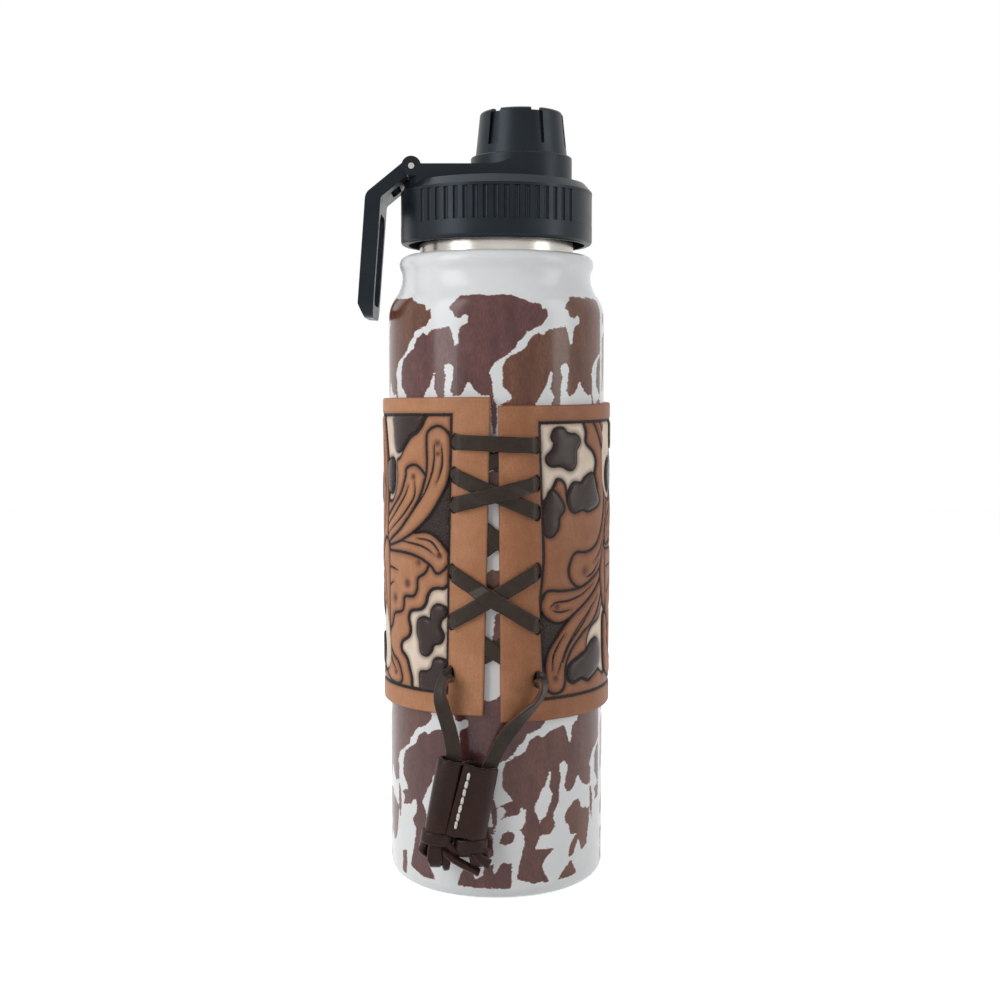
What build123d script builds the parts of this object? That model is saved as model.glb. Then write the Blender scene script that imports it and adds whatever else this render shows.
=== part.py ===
"""Insulated steel bottle with a screw lid, spout cap and carry handle, in a laced leather sleeve.

Millimetres. The origin is the middle of the foot, +Z is up, the lacing faces -Y
and the carry handle hangs on the -X side.
"""

from build123d import *
import math
import os

os.makedirs("parts", exist_ok=True)

# General
FIT = 0.05
SEAT_GAP = 0.3
OVERRUN = 2.0
UP = (0, 1)
DOWN = (0, -1)
OUT = (1, 0)

# Outer shell of the bottle
body_radius = 36.5
sheet = 0.8
base_corner = 4.5
foot_width = 1.5
flange_height = 6.0
plate_recess = 2.4
pressing_radius = 15.0
pressing_step = 0.6
plate_rim_height = 1.8
shoulder_start = 190.0
shoulder_height = 14.0
groove_inset = 4.65
bead_rise = 4.0
bead_proud = 1.0
bead_round = 2.9
crown_rise = 3.1
seal_hole_radius = 1.5
seal_height = 1.4

foot_outer = body_radius - base_corner
foot_inner = foot_outer - foot_width
groove_radius = body_radius - groove_inset
bead_radius = groove_radius + bead_proud
groove_z = shoulder_start + shoulder_height
bead_z = groove_z + bead_rise
neck_joint = bead_z + crown_rise

# Inner flask with the neck
neck_inset = 10.5
neck_wall = 1.2
neck_height = 17.1
rim_round = 0.45
vacuum_gap = 2.6
flask_floor = 9.0
flask_corner = 8.0
flask_shoulder_start = 186.0
flask_shoulder_height = 17.0

flask_radius = body_radius - sheet - vacuum_gap
neck_radius = body_radius - neck_inset
neck_top = neck_joint + neck_height
mouth_radius = neck_radius - neck_wall

# Leather sleeve
leather = 2.1
sleeve_play = 0.1
sleeve_back_top = 162.4
sleeve_left_top = 163.8
sleeve_right_top = 161.1
sleeve_back_low = 60.4
sleeve_left_low = 61.5
sleeve_right_low = 59.4
gap_left_top = -1.8
gap_right_top = 0.6
gap_left_low = -4.25
gap_right_low = 1.36
hole_setback_left = 11.1
hole_setback_right = 12.2
hole_width = 2.8
hole_height = 5.6
row_shares = (0.866, 0.749, 0.646, 0.483, 0.292, 0.120)

sleeve_inner = body_radius + sleeve_play
sleeve_outer = sleeve_inner + leather
sleeve_height = sleeve_back_top - sleeve_back_low

# Lace
lace_width = 4.8
lace_thickness = 1.5
lace_behind = 1.2
lace_play = 0.1
tail_gap = 1.1
tail_stub = 3.2
tail_corner_share = 0.45

tail_depth = sleeve_outer + tail_gap

# Lace slider, two rolled tubes side by side
slider_x = -11.1
slider_gap = 0.54
slider_z = 35.45
slider_tilt = 10.5
slider_length = 23.5
slider_wall = 1.4
left_tube_width = 9.4
left_tube_depth = 7.8
right_tube_width = 11.2
right_tube_depth = 8.4
tube_overlap = 0.7
flap_width = 5.4
flap_thickness = 0.9
stitch_count = 8
stitch_length = 1.7
stitch_radius = 0.35

tilt = math.radians(slider_tilt)
slider_width = left_tube_width + right_tube_width - tube_overlap
left_tube_x = (left_tube_width - slider_width) / 2
right_tube_x = (slider_width - right_tube_width) / 2
wall_behind = math.sqrt(body_radius**2 - (slider_x + right_tube_x * math.cos(tilt)) ** 2)
slider_depth = wall_behind + slider_gap + right_tube_depth / 2

# Knots below the slider
knot_width = 9.0
knot_depth = 6.4
knot_wrap = 4.6
knot_round = 1.4
fold_width = 5.4
fold_depth = 4.6
fold_lean = -8.0
strand_width = 2.2
cut_end_width = 3.6
run_start = 3.1
left_run_x = -5.4
right_run_x = 5.4
left_fold_shift = -1.1
right_fold_shift = 2.2
left_fold_drop = 6.8
right_fold_drop = 3.4
left_strand_shift = 3.1
right_strand_shift = -1.9
left_end_drop = 8.2
right_end_drop = 6.2
left_end_length = 11.8
right_end_length = 4.4
left_end_angle = 31.0
right_end_angle = 42.0

# Lid
skirt_play = 3.8
skirt_wall = 2.5
skirt_gap = 3.45
rim_height = 6.0
rim_corner = 1.4
band_height = 10.45
band_depth = 1.35
lip_height = 0.9
dome_chamfer = 2.4
dome_chamfer_rise = 2.7
dome_rise = 1.95
dome_flat_radius = 17.0
dome_wall = 2.4
band_lip = 0.05
groove_count = 17
groove_pitch = 6.0
groove_first = -48.0
rib_groove_radius = 0.85
rib_groove_inset = 0.1

skirt_inner = neck_radius + skirt_play
lid_radius = skirt_inner + skirt_wall
lid_bottom = neck_joint + skirt_gap
band_low = lid_bottom + rim_height
band_high = band_low + band_height
lip_top = band_high + lip_height
dome_edge = lip_top + dome_chamfer_rise
dome_top = dome_edge + dome_rise
ceiling = dome_edge - dome_wall

# Ring and spout under the cap
spout_x = 8.4
ring_play = 0.45
ring_wall = 1.15
ring_height = 7.35
ring_round = 0.6
spout_bore = 9.2
spout_wall = 2.4
spout_height = 17.75
groove_floor_rise = 0.6
cap_clearance = 0.45

ring_top = dome_top + ring_height
spout_radius = spout_bore + spout_wall
groove_floor = dome_top + groove_floor_rise
spout_top = dome_top + spout_height

# Spout cap
cap_wall_low = 3.35
cap_wall_top = 1.9
cap_roof = 2.7
cap_round = 1.3
cap_seal_thickness = 1.8
cap_slot_count = 6
cap_slot_width = 4.0
cap_slot_low = 3.1
cap_slot_depth = 1.2
cap_slot_angle = -129.0
cap_dish_depth = 0.9
cap_dish_inset = 2.4
cap_bore_play = 0.5

cap_bottom = groove_floor + cap_clearance
cap_ceiling = spout_top + cap_seal_thickness
cap_top = cap_ceiling + cap_roof
cap_bore = spout_radius + cap_bore_play
cap_radius_low = cap_bore + cap_wall_low
cap_radius_top = cap_bore + cap_wall_top
dish_radius = cap_radius_top - cap_dish_inset
dish_floor = cap_top - cap_dish_depth
ring_inner = cap_radius_low + ring_play
ring_radius = ring_inner + ring_wall

# Hinge on the lid
hood_height = 3.2
pin_inset = 4.5
pin_rise = 2.43
pin_radius = 1.25
pin_play = 0.06
ear_radius = 3.2
ear_thickness = 3.35
ear_play = 0.3
barrel_play = 0.4
hood_reach = 3.4
swoop_length = 10.0

pin_x = -(lid_radius - pin_inset)
pin_z = dome_top + pin_rise
hood_top = dome_top + hood_height
hood_half = ring_radius
barrel_half = hood_half - ear_thickness - ear_play

# Carry handle
arm_angle = 38.8
arm_thickness = 4.25
arm_length = 17.2
strap_lean = 4.4
strap_thickness = 5.2
strap_length = 40.6
corner_round = 4.0
inner_round = 2.0
foot_taper = 2.3
foot_taper_height = 4.4
loop_corner = 5.0
window_width = 20.0
window_height = 30.4
window_foot = 4.4
window_round = 4.0
pad_depth = 1.2
pad_start = 4.2
pad_upper_length = 23.0
pad_break = 1.9
pad_lower_length = 5.6
pad_margin = 1.6
arm_slot_width = 14.0
arm_slot_length = 3.6
arm_slot_share = 0.5

# Screw core under the lid and its seal
core_play = 0.4
core_wall = 1.8
core_depth = 24.2
core_lip = 3.2
seal_thickness = 2.0
seal_width = 2.4
seal_groove = 0.4

core_radius = mouth_radius - core_play
core_bottom = neck_top - core_depth
flange_low = neck_top + seal_thickness


def s_curve(start, end, heading):
    """Two arcs that leave one point and reach the other along the same upright heading."""
    middle = ((start[0] + end[0]) / 2, (start[1] + end[1]) / 2)
    first = TangentArc(start, middle, tangent=heading)
    TangentArc(middle, end, tangent=first % 1)


def hole_place(side, row):
    """The middle of a lace hole, seen from the front: side is -1 on the left and 1 on the right."""
    share = row_shares[row]
    height = sleeve_back_low + share * sleeve_height
    if side < 0:
        edge = gap_left_low + share * (gap_left_top - gap_left_low)
        return (edge - hole_setback_left, height)
    edge = gap_right_low + share * (gap_right_top - gap_right_low)
    return (edge + hole_setback_right, height)


def strand_sketch(strands, width, extra):
    """Straight strands between pairs of lace holes, drawn on the front plane."""
    for first, second in strands:
        start, end = Vector(*hole_place(*first)), Vector(*hole_place(*second))
        run = end - start
        angle = math.degrees(math.atan2(run.Y, run.X))
        with Locations(Location((start + end) * 0.5, angle)):
            Rectangle(run.length + extra, width)


def lace_layer(strands, inner, outer, width, extra):
    """Strands wrapped on the bottle between two radii."""
    with BuildPart() as layer:
        with BuildSketch(Plane.XZ):
            strand_sketch(strands, width, extra)
        extrude(amount=sleeve_outer + lace_width)
        with BuildSketch(Plane.XY.offset(sleeve_back_low)):
            Circle(outer)
            Circle(inner, mode=Mode.SUBTRACT)
        extrude(amount=sleeve_height, mode=Mode.INTERSECT)
    return layer.part


# Outer shell: foot, wall, shoulder, bead and crown in one drawn sheet
with BuildPart() as bottle_shell:
    with BuildSketch(Plane.XZ):
        with BuildLine():
            Line((foot_inner, 0), (foot_outer, 0))
            TangentArc((foot_outer, 0), (body_radius, base_corner), tangent=OUT)
            Line((body_radius, base_corner), (body_radius, shoulder_start))
            s_curve((body_radius, shoulder_start), (groove_radius, groove_z), UP)
            s_curve((groove_radius, groove_z), (bead_radius, bead_z), UP)
            crown_out = (bead_radius - bead_round, bead_z + bead_round)
            TangentArc((bead_radius, bead_z), crown_out, tangent=UP)
            Polyline(
                crown_out,
                (neck_radius + FIT, neck_joint),
                (neck_radius + FIT, neck_joint - sheet),
                (crown_out[0], crown_out[1] - sheet),
            )
            TangentArc(
                (crown_out[0], crown_out[1] - sheet),
                (bead_radius - sheet, bead_z),
                tangent=OUT,
            )
            s_curve((bead_radius - sheet, bead_z), (groove_radius - sheet, groove_z), DOWN)
            s_curve((groove_radius - sheet, groove_z), (body_radius - sheet, shoulder_start), DOWN)
            Line((body_radius - sheet, shoulder_start), (body_radius - sheet, base_corner))
            TangentArc((body_radius - sheet, base_corner), (foot_outer, sheet), tangent=DOWN)
            Polyline(
                (foot_outer, sheet),
                (foot_inner + sheet, sheet),
                (foot_inner + sheet, flange_height),
                (foot_inner, flange_height),
                (foot_inner, 0),
            )
        make_face()
    revolve(axis=Axis.Z)
bottle_shell.part.label = "bottle_shell"

# Pressure disc that closes the vacuum space, with the pumping hole in its middle
plate_radius = foot_inner - FIT
disc_z = flange_height - sheet
with BuildPart() as pressure_disc:
    with BuildSketch(Plane.XZ):
        with BuildLine():
            Polyline(
                (seal_hole_radius, disc_z - pressing_step),
                (pressing_radius, disc_z - pressing_step),
                (pressing_radius + pressing_step, disc_z),
                (plate_radius, disc_z),
                (plate_radius, disc_z + sheet),
                (pressing_radius + pressing_step, disc_z + sheet),
                (pressing_radius, disc_z - pressing_step + sheet),
                (seal_hole_radius, disc_z - pressing_step + sheet),
                close=True,
            )
        make_face()
    revolve(axis=Axis.Z)
pressure_disc.part.label = "pressure_disc"

# Bead that seals the pumping hole
with BuildPart() as vacuum_seal:
    with BuildSketch(Plane.XY.offset(disc_z - pressing_step)):
        Circle(seal_hole_radius - FIT)
    extrude(amount=seal_height)
    fillet(vacuum_seal.edges().group_by(Axis.Z)[-1], radius=seal_hole_radius / 3)
vacuum_seal.part.label = "vacuum_seal"

# Base plate pressed into the foot
with BuildPart() as base_plate:
    with BuildSketch(Plane.XZ):
        with BuildLine():
            Polyline(
                (0, plate_recess + pressing_step),
                (pressing_radius, plate_recess + pressing_step),
                (pressing_radius + pressing_step, plate_recess),
                (plate_radius, plate_recess),
                (plate_radius, plate_recess + plate_rim_height),
                (plate_radius - sheet, plate_recess + plate_rim_height),
                (plate_radius - sheet, plate_recess + sheet),
                (pressing_radius + pressing_step, plate_recess + sheet),
                (pressing_radius, plate_recess + pressing_step + sheet),
                (0, plate_recess + pressing_step + sheet),
                close=True,
            )
        make_face()
    revolve(axis=Axis.Z)
base_plate.part.label = "base_plate"

# Inner flask, whose neck stands out of the shell
flask_shoulder_end = flask_shoulder_start + flask_shoulder_height
with BuildPart() as inner_flask:
    with BuildSketch(Plane.XZ):
        with BuildLine():
            Line((0, flask_floor), (flask_radius - flask_corner, flask_floor))
            TangentArc(
                (flask_radius - flask_corner, flask_floor),
                (flask_radius, flask_floor + flask_corner),
                tangent=OUT,
            )
            Line((flask_radius, flask_floor + flask_corner), (flask_radius, flask_shoulder_start))
            s_curve((flask_radius, flask_shoulder_start), (neck_radius, flask_shoulder_end), UP)
            Polyline(
                (neck_radius, flask_shoulder_end),
                (neck_radius, neck_top),
                (mouth_radius, neck_top),
                (mouth_radius, flask_shoulder_end),
            )
            s_curve(
                (mouth_radius, flask_shoulder_end),
                (flask_radius - sheet, flask_shoulder_start),
                DOWN,
            )
            Line(
                (flask_radius - sheet, flask_shoulder_start),
                (flask_radius - sheet, flask_floor + flask_corner),
            )
            TangentArc(
                (flask_radius - sheet, flask_floor + flask_corner),
                (flask_radius - flask_corner, flask_floor + sheet),
                tangent=DOWN,
            )
            Polyline(
                (flask_radius - flask_corner, flask_floor + sheet),
                (0, flask_floor + sheet),
                (0, flask_floor),
            )
        make_face()
    revolve(axis=Axis.Z)
    fillet(inner_flask.edges().group_by(Axis.Z)[-1], radius=rim_round)
inner_flask.part.label = "inner_flask"

# Lace strands by hole, (side, row): a bar in front at the top, then crosses behind and in front in turn
row_count = len(row_shares)
holes = [(side, row) for side in (-1, 1) for row in range(row_count)]
crosses = [[((-1, row), (1, row + 1)), ((1, row), (-1, row + 1))] for row in range(row_count - 1)]
behind_strands = [strand for cross in crosses[0::2] for strand in cross]
front_strands = [((-1, 0), (1, 0))] + [strand for cross in crosses[1::2] for strand in cross]
behind_outer = sleeve_inner + lace_behind
front_inner = sleeve_outer + FIT
front_outer = front_inner + lace_thickness
pockets = lace_layer(
    behind_strands,
    sleeve_inner - OVERRUN,
    behind_outer + lace_play,
    lace_width + 2 * lace_play,
    lace_thickness + 2 * lace_play,
)

# Leather sleeve: wrapped round the wall, open in front, with lace holes and lace pockets
with BuildPart() as leather_sleeve:
    sleeve_floor = sleeve_right_low - OVERRUN
    sleeve_roof = sleeve_left_top + OVERRUN
    span = sleeve_outer + OVERRUN
    with BuildSketch(Plane.XY.offset(sleeve_floor)):
        Circle(sleeve_outer)
        Circle(sleeve_inner, mode=Mode.SUBTRACT)
    extrude(amount=sleeve_roof - sleeve_floor)
    edges = (
        (-1, sleeve_left_top, sleeve_left_low),
        (1, sleeve_right_top, sleeve_right_low),
    )
    for side, front_top, front_low in edges:
        with BuildSketch(Plane.YZ):
            with BuildLine():
                Polyline(
                    (-span, front_top),
                    (span, sleeve_back_top),
                    (span, sleeve_roof + OVERRUN),
                    (-span, sleeve_roof + OVERRUN),
                    close=True,
                )
            make_face()
            with BuildLine():
                Polyline(
                    (-span, front_low),
                    (span, sleeve_back_low),
                    (span, sleeve_floor - OVERRUN),
                    (-span, sleeve_floor - OVERRUN),
                    close=True,
                )
            make_face()
        extrude(amount=side * span, mode=Mode.SUBTRACT)
    with BuildSketch(Plane.XZ):
        slope_left = (gap_left_top - gap_left_low) / sleeve_height
        slope_right = (gap_right_top - gap_right_low) / sleeve_height
        over, under = sleeve_roof - sleeve_back_top, sleeve_floor - sleeve_back_low
        with BuildLine():
            Polyline(
                (gap_left_low + slope_left * under, sleeve_floor),
                (gap_right_low + slope_right * under, sleeve_floor),
                (gap_right_top + slope_right * over, sleeve_roof),
                (gap_left_top + slope_left * over, sleeve_roof),
                close=True,
            )
        make_face()
        for side, row in holes:
            with Locations(hole_place(side, row)):
                RectangleRounded(hole_width, hole_height, hole_width / 3)
    extrude(amount=span, mode=Mode.SUBTRACT)
    add(pockets, mode=Mode.SUBTRACT)
leather_sleeve.part.label = "leather_sleeve"

# Lacing: one flat lace from the top row down to the last row of holes
front_layer = lace_layer(front_strands, front_inner, front_outer, lace_width, lace_thickness)
behind_layer = lace_layer(behind_strands, sleeve_inner, behind_outer, lace_width, lace_thickness)
tail_back = tail_depth - lace_thickness / 2
with BuildPart() as lacing:
    with BuildSketch(Plane.XZ):
        with Locations(*[hole_place(side, row) for side, row in holes]):
            Rectangle(lace_thickness, lace_width)
    extrude(amount=span)
    with BuildSketch(Plane.XY.offset(sleeve_back_low)):
        Circle(front_outer)
        Circle(sleeve_inner, mode=Mode.SUBTRACT)
    extrude(amount=sleeve_height, mode=Mode.INTERSECT)
    with BuildSketch(Plane.XZ.offset(tail_back)):
        with Locations(hole_place(-1, row_count - 1), hole_place(1, row_count - 1)):
            Rectangle(lace_thickness, lace_width)
    extrude(amount=-tail_stub)
    add(front_layer)
    add(behind_layer)
lacing.part.label = "lacing"


def corner_radii(points):
    """The largest arc that each corner of a cord's route has room for."""
    runs = [Vector(*b) - Vector(*a) for a, b in zip(points, points[1:])]
    radii = []
    for before, after in zip(runs, runs[1:]):
        turn = math.radians(before.get_angle(after))
        shorter = min(before.length, after.length)
        radii.append(tail_corner_share * shorter / math.tan(turn / 2))
    return radii


def flat_tail(points):
    """A flat lace along a route in the plane of the tails."""
    radii = corner_radii(points)
    with BuildPart() as tail:
        with BuildLine(Plane.XZ.offset(tail_depth)) as route:
            FilletPolyline(*points, radius=radii)
        path = route.wires()[0]
        with BuildSketch(Plane(origin=path @ 0, x_dir=(0, 1, 0), z_dir=path % 0)):
            Rectangle(lace_thickness, lace_width)
        sweep(path=path)
    share = tail.part.volume / (path.length * lace_thickness * lace_width)
    print("tail", round(path.length, 2), "radii", [round(r, 1) for r in radii], "volume share", round(share, 4))
    return tail.part


# Free lace tails, from the last holes down into the slider's tubes
left_tail_points = (
    (-16.3, 74.6),
    (-17.9, 69.2),
    (-17.6, 63.4),
    (-15.8, 57.2),
    (-14.2, 50.8),
    (-14.9, 44.8),
    (-15.85, 39.65),
)
right_tail_points = (
    (13.7, 75.2),
    (13.2, 70.9),
    (11.7, 66.8),
    (9.2, 63.2),
    (4.6, 59.0),
    (0.9, 54.4),
    (-2.0, 49.2),
    (-4.15, 43.1),
    (-5.2, 37.7),
)
lace_tail_left = flat_tail(left_tail_points)
lace_tail_left.label = "lace_tail_left"
lace_tail_right = flat_tail(right_tail_points)
lace_tail_right.label = "lace_tail_right"

# Lace slider: two rolled leather tubes with a stitched flap across the right one
across = Vector(math.cos(tilt), 0, -math.sin(tilt))
along = Vector(math.sin(tilt), 0, math.cos(tilt))
slider_plane = Plane(origin=(slider_x, -slider_depth, slider_z), x_dir=across, z_dir=along)
half_length = slider_length / 2
waist_x = left_tube_width - tube_overlap / 2 - slider_width / 2
flap_x = waist_x + flap_width / 2
with BuildPart() as lace_slider:
    with BuildSketch(slider_plane.offset(-half_length)):
        with Locations((left_tube_x, 0)):
            Ellipse(left_tube_width / 2, left_tube_depth / 2)
        with Locations((right_tube_x, 0)):
            Ellipse(right_tube_width / 2, right_tube_depth / 2)
        with Locations((left_tube_x, 0)):
            RectangleRounded(
                left_tube_width - 2 * slider_wall,
                left_tube_depth - 2 * slider_wall,
                slider_wall,
                mode=Mode.SUBTRACT,
            )
        with Locations((right_tube_x, 0)):
            RectangleRounded(
                right_tube_width - 2 * slider_wall,
                right_tube_depth - 2 * slider_wall,
                slider_wall,
                mode=Mode.SUBTRACT,
            )
    extrude(amount=slider_length)
    with BuildSketch(slider_plane.offset(-half_length)):
        with Locations((flap_x, -right_tube_depth / 2 + flap_thickness / 2)):
            RectangleRounded(flap_width, flap_thickness, flap_thickness / 3)
    extrude(amount=slider_length)
lace_slider.part.label = "lace_slider"

# Saddle stitches along the flap's edge
stitch_pitch = slider_length / (stitch_count + 1)
stitch_y = -right_tube_depth / 2 - stitch_radius
with BuildPart() as slider_stitches:
    for number in range(stitch_count):
        low = -half_length + (number + 1) * stitch_pitch - stitch_length / 2
        with BuildSketch(slider_plane.offset(low)):
            with Locations((flap_x, stitch_y)):
                RegularPolygon(stitch_radius, 6, major_radius=False)
        extrude(amount=stitch_length)
slider_stitches.part.label = "slider_stitches"


def lace_end(run_x, fold_shift, fold_drop, strand_shift, end_drop, end_length, end_angle):
    """A lace's straight end, which runs out of its tube into an overhand knot: wrap, fold, strand and cut end."""
    bottom = -half_length - SEAT_GAP
    depth = tail_depth - slider_depth
    with BuildPart() as end:
        with BuildSketch(slider_plane.offset(bottom)):
            with Locations((run_x, -depth)):
                Ellipse(knot_width / 2, knot_depth / 2)
        extrude(amount=-knot_wrap)
        fillet(end.edges().filter_by(GeomType.ELLIPSE), radius=knot_round)
        with BuildSketch(slider_plane.offset(run_start)):
            with Locations((run_x, -depth)):
                Rectangle(lace_width, lace_thickness)
        extrude(amount=bottom - knot_wrap / 2 - run_start)
        fold_top = slider_plane.from_local_coords((run_x, -depth, bottom - knot_wrap / 2))
        fold_plane = Plane(origin=fold_top, x_dir=across, z_dir=along).rotated((0, fold_lean, 0))
        with BuildSketch(fold_plane):
            with Locations((fold_shift, 0)):
                RectangleRounded(fold_width, fold_depth, lace_thickness)
        extrude(amount=-knot_wrap / 2 - fold_drop)
        fillet(end.faces().sort_by(Axis.Z)[0].edges(), radius=lace_thickness / 2)
        with BuildSketch(fold_plane):
            with Locations((strand_shift, 0)):
                RectangleRounded(strand_width, fold_depth, strand_width / 3)
        extrude(amount=-knot_wrap / 2 - fold_drop)
        end_start = fold_plane.from_local_coords((max(strand_shift, fold_shift), 0, knot_wrap / 2 - end_drop))
        end_plane = Plane(origin=end_start, x_dir=(0, 1, 0), z_dir=(1, 0, 0)).rotated((0, end_angle, 0))
        with BuildSketch(end_plane):
            Rectangle(cut_end_width, lace_thickness)
        extrude(amount=end_length)
    return end.part


lace_end_left = lace_end(
    left_run_x,
    left_fold_shift,
    left_fold_drop,
    left_strand_shift,
    left_end_drop,
    left_end_length,
    left_end_angle,
)
lace_end_left.label = "lace_end_left"
lace_end_right = lace_end(
    right_run_x,
    right_fold_shift,
    right_fold_drop,
    right_strand_shift,
    right_end_drop,
    right_end_length,
    right_end_angle,
)
lace_end_right.label = "lace_end_right"

# Lid: skirt, recess for the grip band, dome, ring, spout and hinge hood in one moulding
with BuildPart() as lid_body:
    with BuildSketch(Plane.XZ):
        with BuildLine():
            Line((skirt_inner, lid_bottom), (lid_radius - rim_corner, lid_bottom))
            TangentArc(
                (lid_radius - rim_corner, lid_bottom),
                (lid_radius, lid_bottom + rim_corner),
                tangent=OUT,
            )
            Polyline(
                (lid_radius, lid_bottom + rim_corner),
                (lid_radius, band_low),
                (lid_radius - band_depth, band_low),
                (lid_radius - band_depth, band_high),
                (lid_radius, band_high),
                (lid_radius, lip_top),
                (lid_radius - dome_chamfer, dome_edge),
                (dome_flat_radius, dome_top),
                (0, dome_top),
                (0, ceiling),
                (skirt_inner, ceiling),
                (skirt_inner, lid_bottom),
            )
        make_face()
    revolve(axis=Axis.Z)
    with BuildSketch(Plane.XY.offset(ceiling)):
        with Locations((spout_x, 0)):
            Circle(ring_radius)
    extrude(amount=ring_top - ceiling)
    fillet(lid_body.edges().group_by(Axis.Z)[-1], radius=ring_round)
    hood_end = pin_x + hood_reach
    with BuildSketch(Plane.XY.offset(ceiling)):
        with Locations(((hood_end + spout_x) / 2, 0)):
            Rectangle(spout_x - hood_end, 2 * hood_half)
    extrude(amount=hood_top - ceiling)
    with BuildSketch(Plane.XZ.offset(-hood_half)):
        with BuildLine():
            swoop_foot = (spout_x - swoop_length - ring_wall, hood_top)
            swoop_head = (spout_x - ring_wall, ring_top - ring_round)
            TangentArc(swoop_foot, swoop_head, tangent=OUT)
            Polyline(swoop_head, (spout_x, swoop_head[1]), (spout_x, hood_top), swoop_foot)
        make_face()
    extrude(amount=2 * hood_half)
    with BuildSketch(Plane.XZ.offset(-hood_half)):
        with Locations((pin_x, pin_z)):
            Circle(ear_radius)
        with BuildLine():
            Polyline(
                (pin_x, pin_z - ear_radius),
                (pin_x + ear_radius, pin_z - ear_radius),
                (hood_end + OVERRUN, dome_edge),
                (hood_end + OVERRUN, hood_top),
                (pin_x, hood_top),
                close=True,
            )
        make_face()
    extrude(amount=2 * hood_half)
    with BuildSketch(Plane.XY.offset(ceiling)):
        Circle(lid_radius - dome_chamfer / 2)
        with Locations((hood_end / 2 + spout_x - hood_end, 0)):
            Rectangle(2 * spout_x - hood_end, 2 * lid_radius, mode=Mode.SUBTRACT)
        with Locations((pin_x, 0)):
            Rectangle(2 * lid_radius, 2 * hood_half, mode=Mode.INTERSECT)
    extrude(amount=pin_z - ear_radius - ceiling)
    with BuildSketch(Plane.XY.offset(groove_floor)):
        with Locations((spout_x, 0)):
            Circle(ring_inner)
    extrude(amount=ring_top - groove_floor + OVERRUN, mode=Mode.SUBTRACT)
    with BuildSketch(Plane.XY.offset(groove_floor - FIT)):
        with Locations((spout_x, 0)):
            Circle(spout_radius)
    extrude(amount=spout_top - groove_floor + FIT)
    with BuildSketch(Plane.XY.offset(ceiling - OVERRUN)):
        with Locations((spout_x, 0)):
            Circle(spout_bore)
    extrude(amount=spout_top - ceiling + 2 * OVERRUN, mode=Mode.SUBTRACT)
    relief = ear_radius + barrel_play
    arm = math.radians(arm_angle)
    arm_run = (math.cos(arm), math.sin(arm))
    relief_foot = (pin_x + relief * arm_run[1], pin_z - relief * arm_run[0])
    relief_reach = 3 * ear_radius
    relief_head = (
        relief_foot[0] + relief_reach * arm_run[0],
        relief_foot[1] + relief_reach * arm_run[1],
    )
    relief_left = -lid_radius - OVERRUN
    under = (arm_thickness - ear_radius + barrel_play) / arm_run[0]
    slope = arm_run[1] / arm_run[0]
    relief_bend = pin_x - (relief - under) / slope
    with BuildSketch(Plane.XZ.offset(-barrel_half - ear_play)):
        with BuildLine():
            Polyline(
                (relief_left, pin_z - under + (relief_left - pin_x) * slope),
                (relief_bend, pin_z - relief),
                (pin_x + relief * (1 - arm_run[0]) / arm_run[1], pin_z - relief),
                relief_foot,
                relief_head,
                (relief_head[0], relief_head[1] + ear_radius),
                (relief_left, relief_head[1] + ear_radius),
                close=True,
            )
        make_face()
    extrude(amount=2 * (barrel_half + ear_play), mode=Mode.SUBTRACT)
    with Locations(Plane(origin=(pin_x, -hood_half, pin_z), z_dir=(0, -1, 0))):
        Hole(pin_radius, depth=2 * hood_half)
lid_body.part.label = "lid_body"

# Grip band with ribs in front and behind
with BuildPart() as grip_band:
    with BuildSketch(Plane.XY.offset(band_low + FIT)):
        Circle(lid_radius - band_lip)
        Circle(lid_radius - band_depth + FIT, mode=Mode.SUBTRACT)
        for facing in (-90, 90):
            with PolarLocations(
                lid_radius + rib_groove_inset,
                groove_count,
                start_angle=facing + groove_first,
                angular_range=groove_pitch * groove_count,
            ):
                Circle(rib_groove_radius, mode=Mode.SUBTRACT)
    extrude(amount=band_height - 2 * FIT)
grip_band.part.label = "grip_band"

# Screw core that plugs the neck, open below
with BuildPart() as lid_core:
    with BuildSketch(Plane.XZ):
        with BuildLine():
            Polyline(
                (core_radius - core_lip, core_bottom),
                (core_radius, core_bottom),
                (core_radius, flange_low),
                (skirt_inner - FIT, flange_low),
                (skirt_inner - FIT, ceiling),
                (core_radius - core_wall, ceiling),
                (core_radius - core_wall, core_bottom + core_wall),
                (core_radius - core_lip, core_bottom + core_wall),
                close=True,
            )
        make_face()
    revolve(axis=Axis.Z)
lid_core.part.label = "lid_core"

# Seal between the neck's rim and the core's flange
seal_inner = mouth_radius + FIT
with BuildPart() as lid_seal:
    with BuildSketch(Plane.XZ):
        with BuildLine():
            Polyline(
                (seal_inner, neck_top),
                (seal_inner + seal_width, neck_top),
                (seal_inner + seal_width - seal_groove, neck_top + seal_thickness / 2),
                (seal_inner + seal_width, flange_low),
                (seal_inner, flange_low),
                (seal_inner + seal_groove, neck_top + seal_thickness / 2),
                close=True,
            )
        make_face()
    revolve(axis=Axis.Z)
lid_seal.part.label = "lid_seal"

# Pin through the ears
with BuildPart() as hinge_pin:
    with BuildSketch(Plane.XZ.offset(-hood_half)):
        with Locations((pin_x, pin_z)):
            Circle(pin_radius - FIT / 2)
    extrude(amount=2 * hood_half)
    chamfer(hinge_pin.edges(), length=pin_radius / 5)
hinge_pin.part.label = "hinge_pin"

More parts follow.
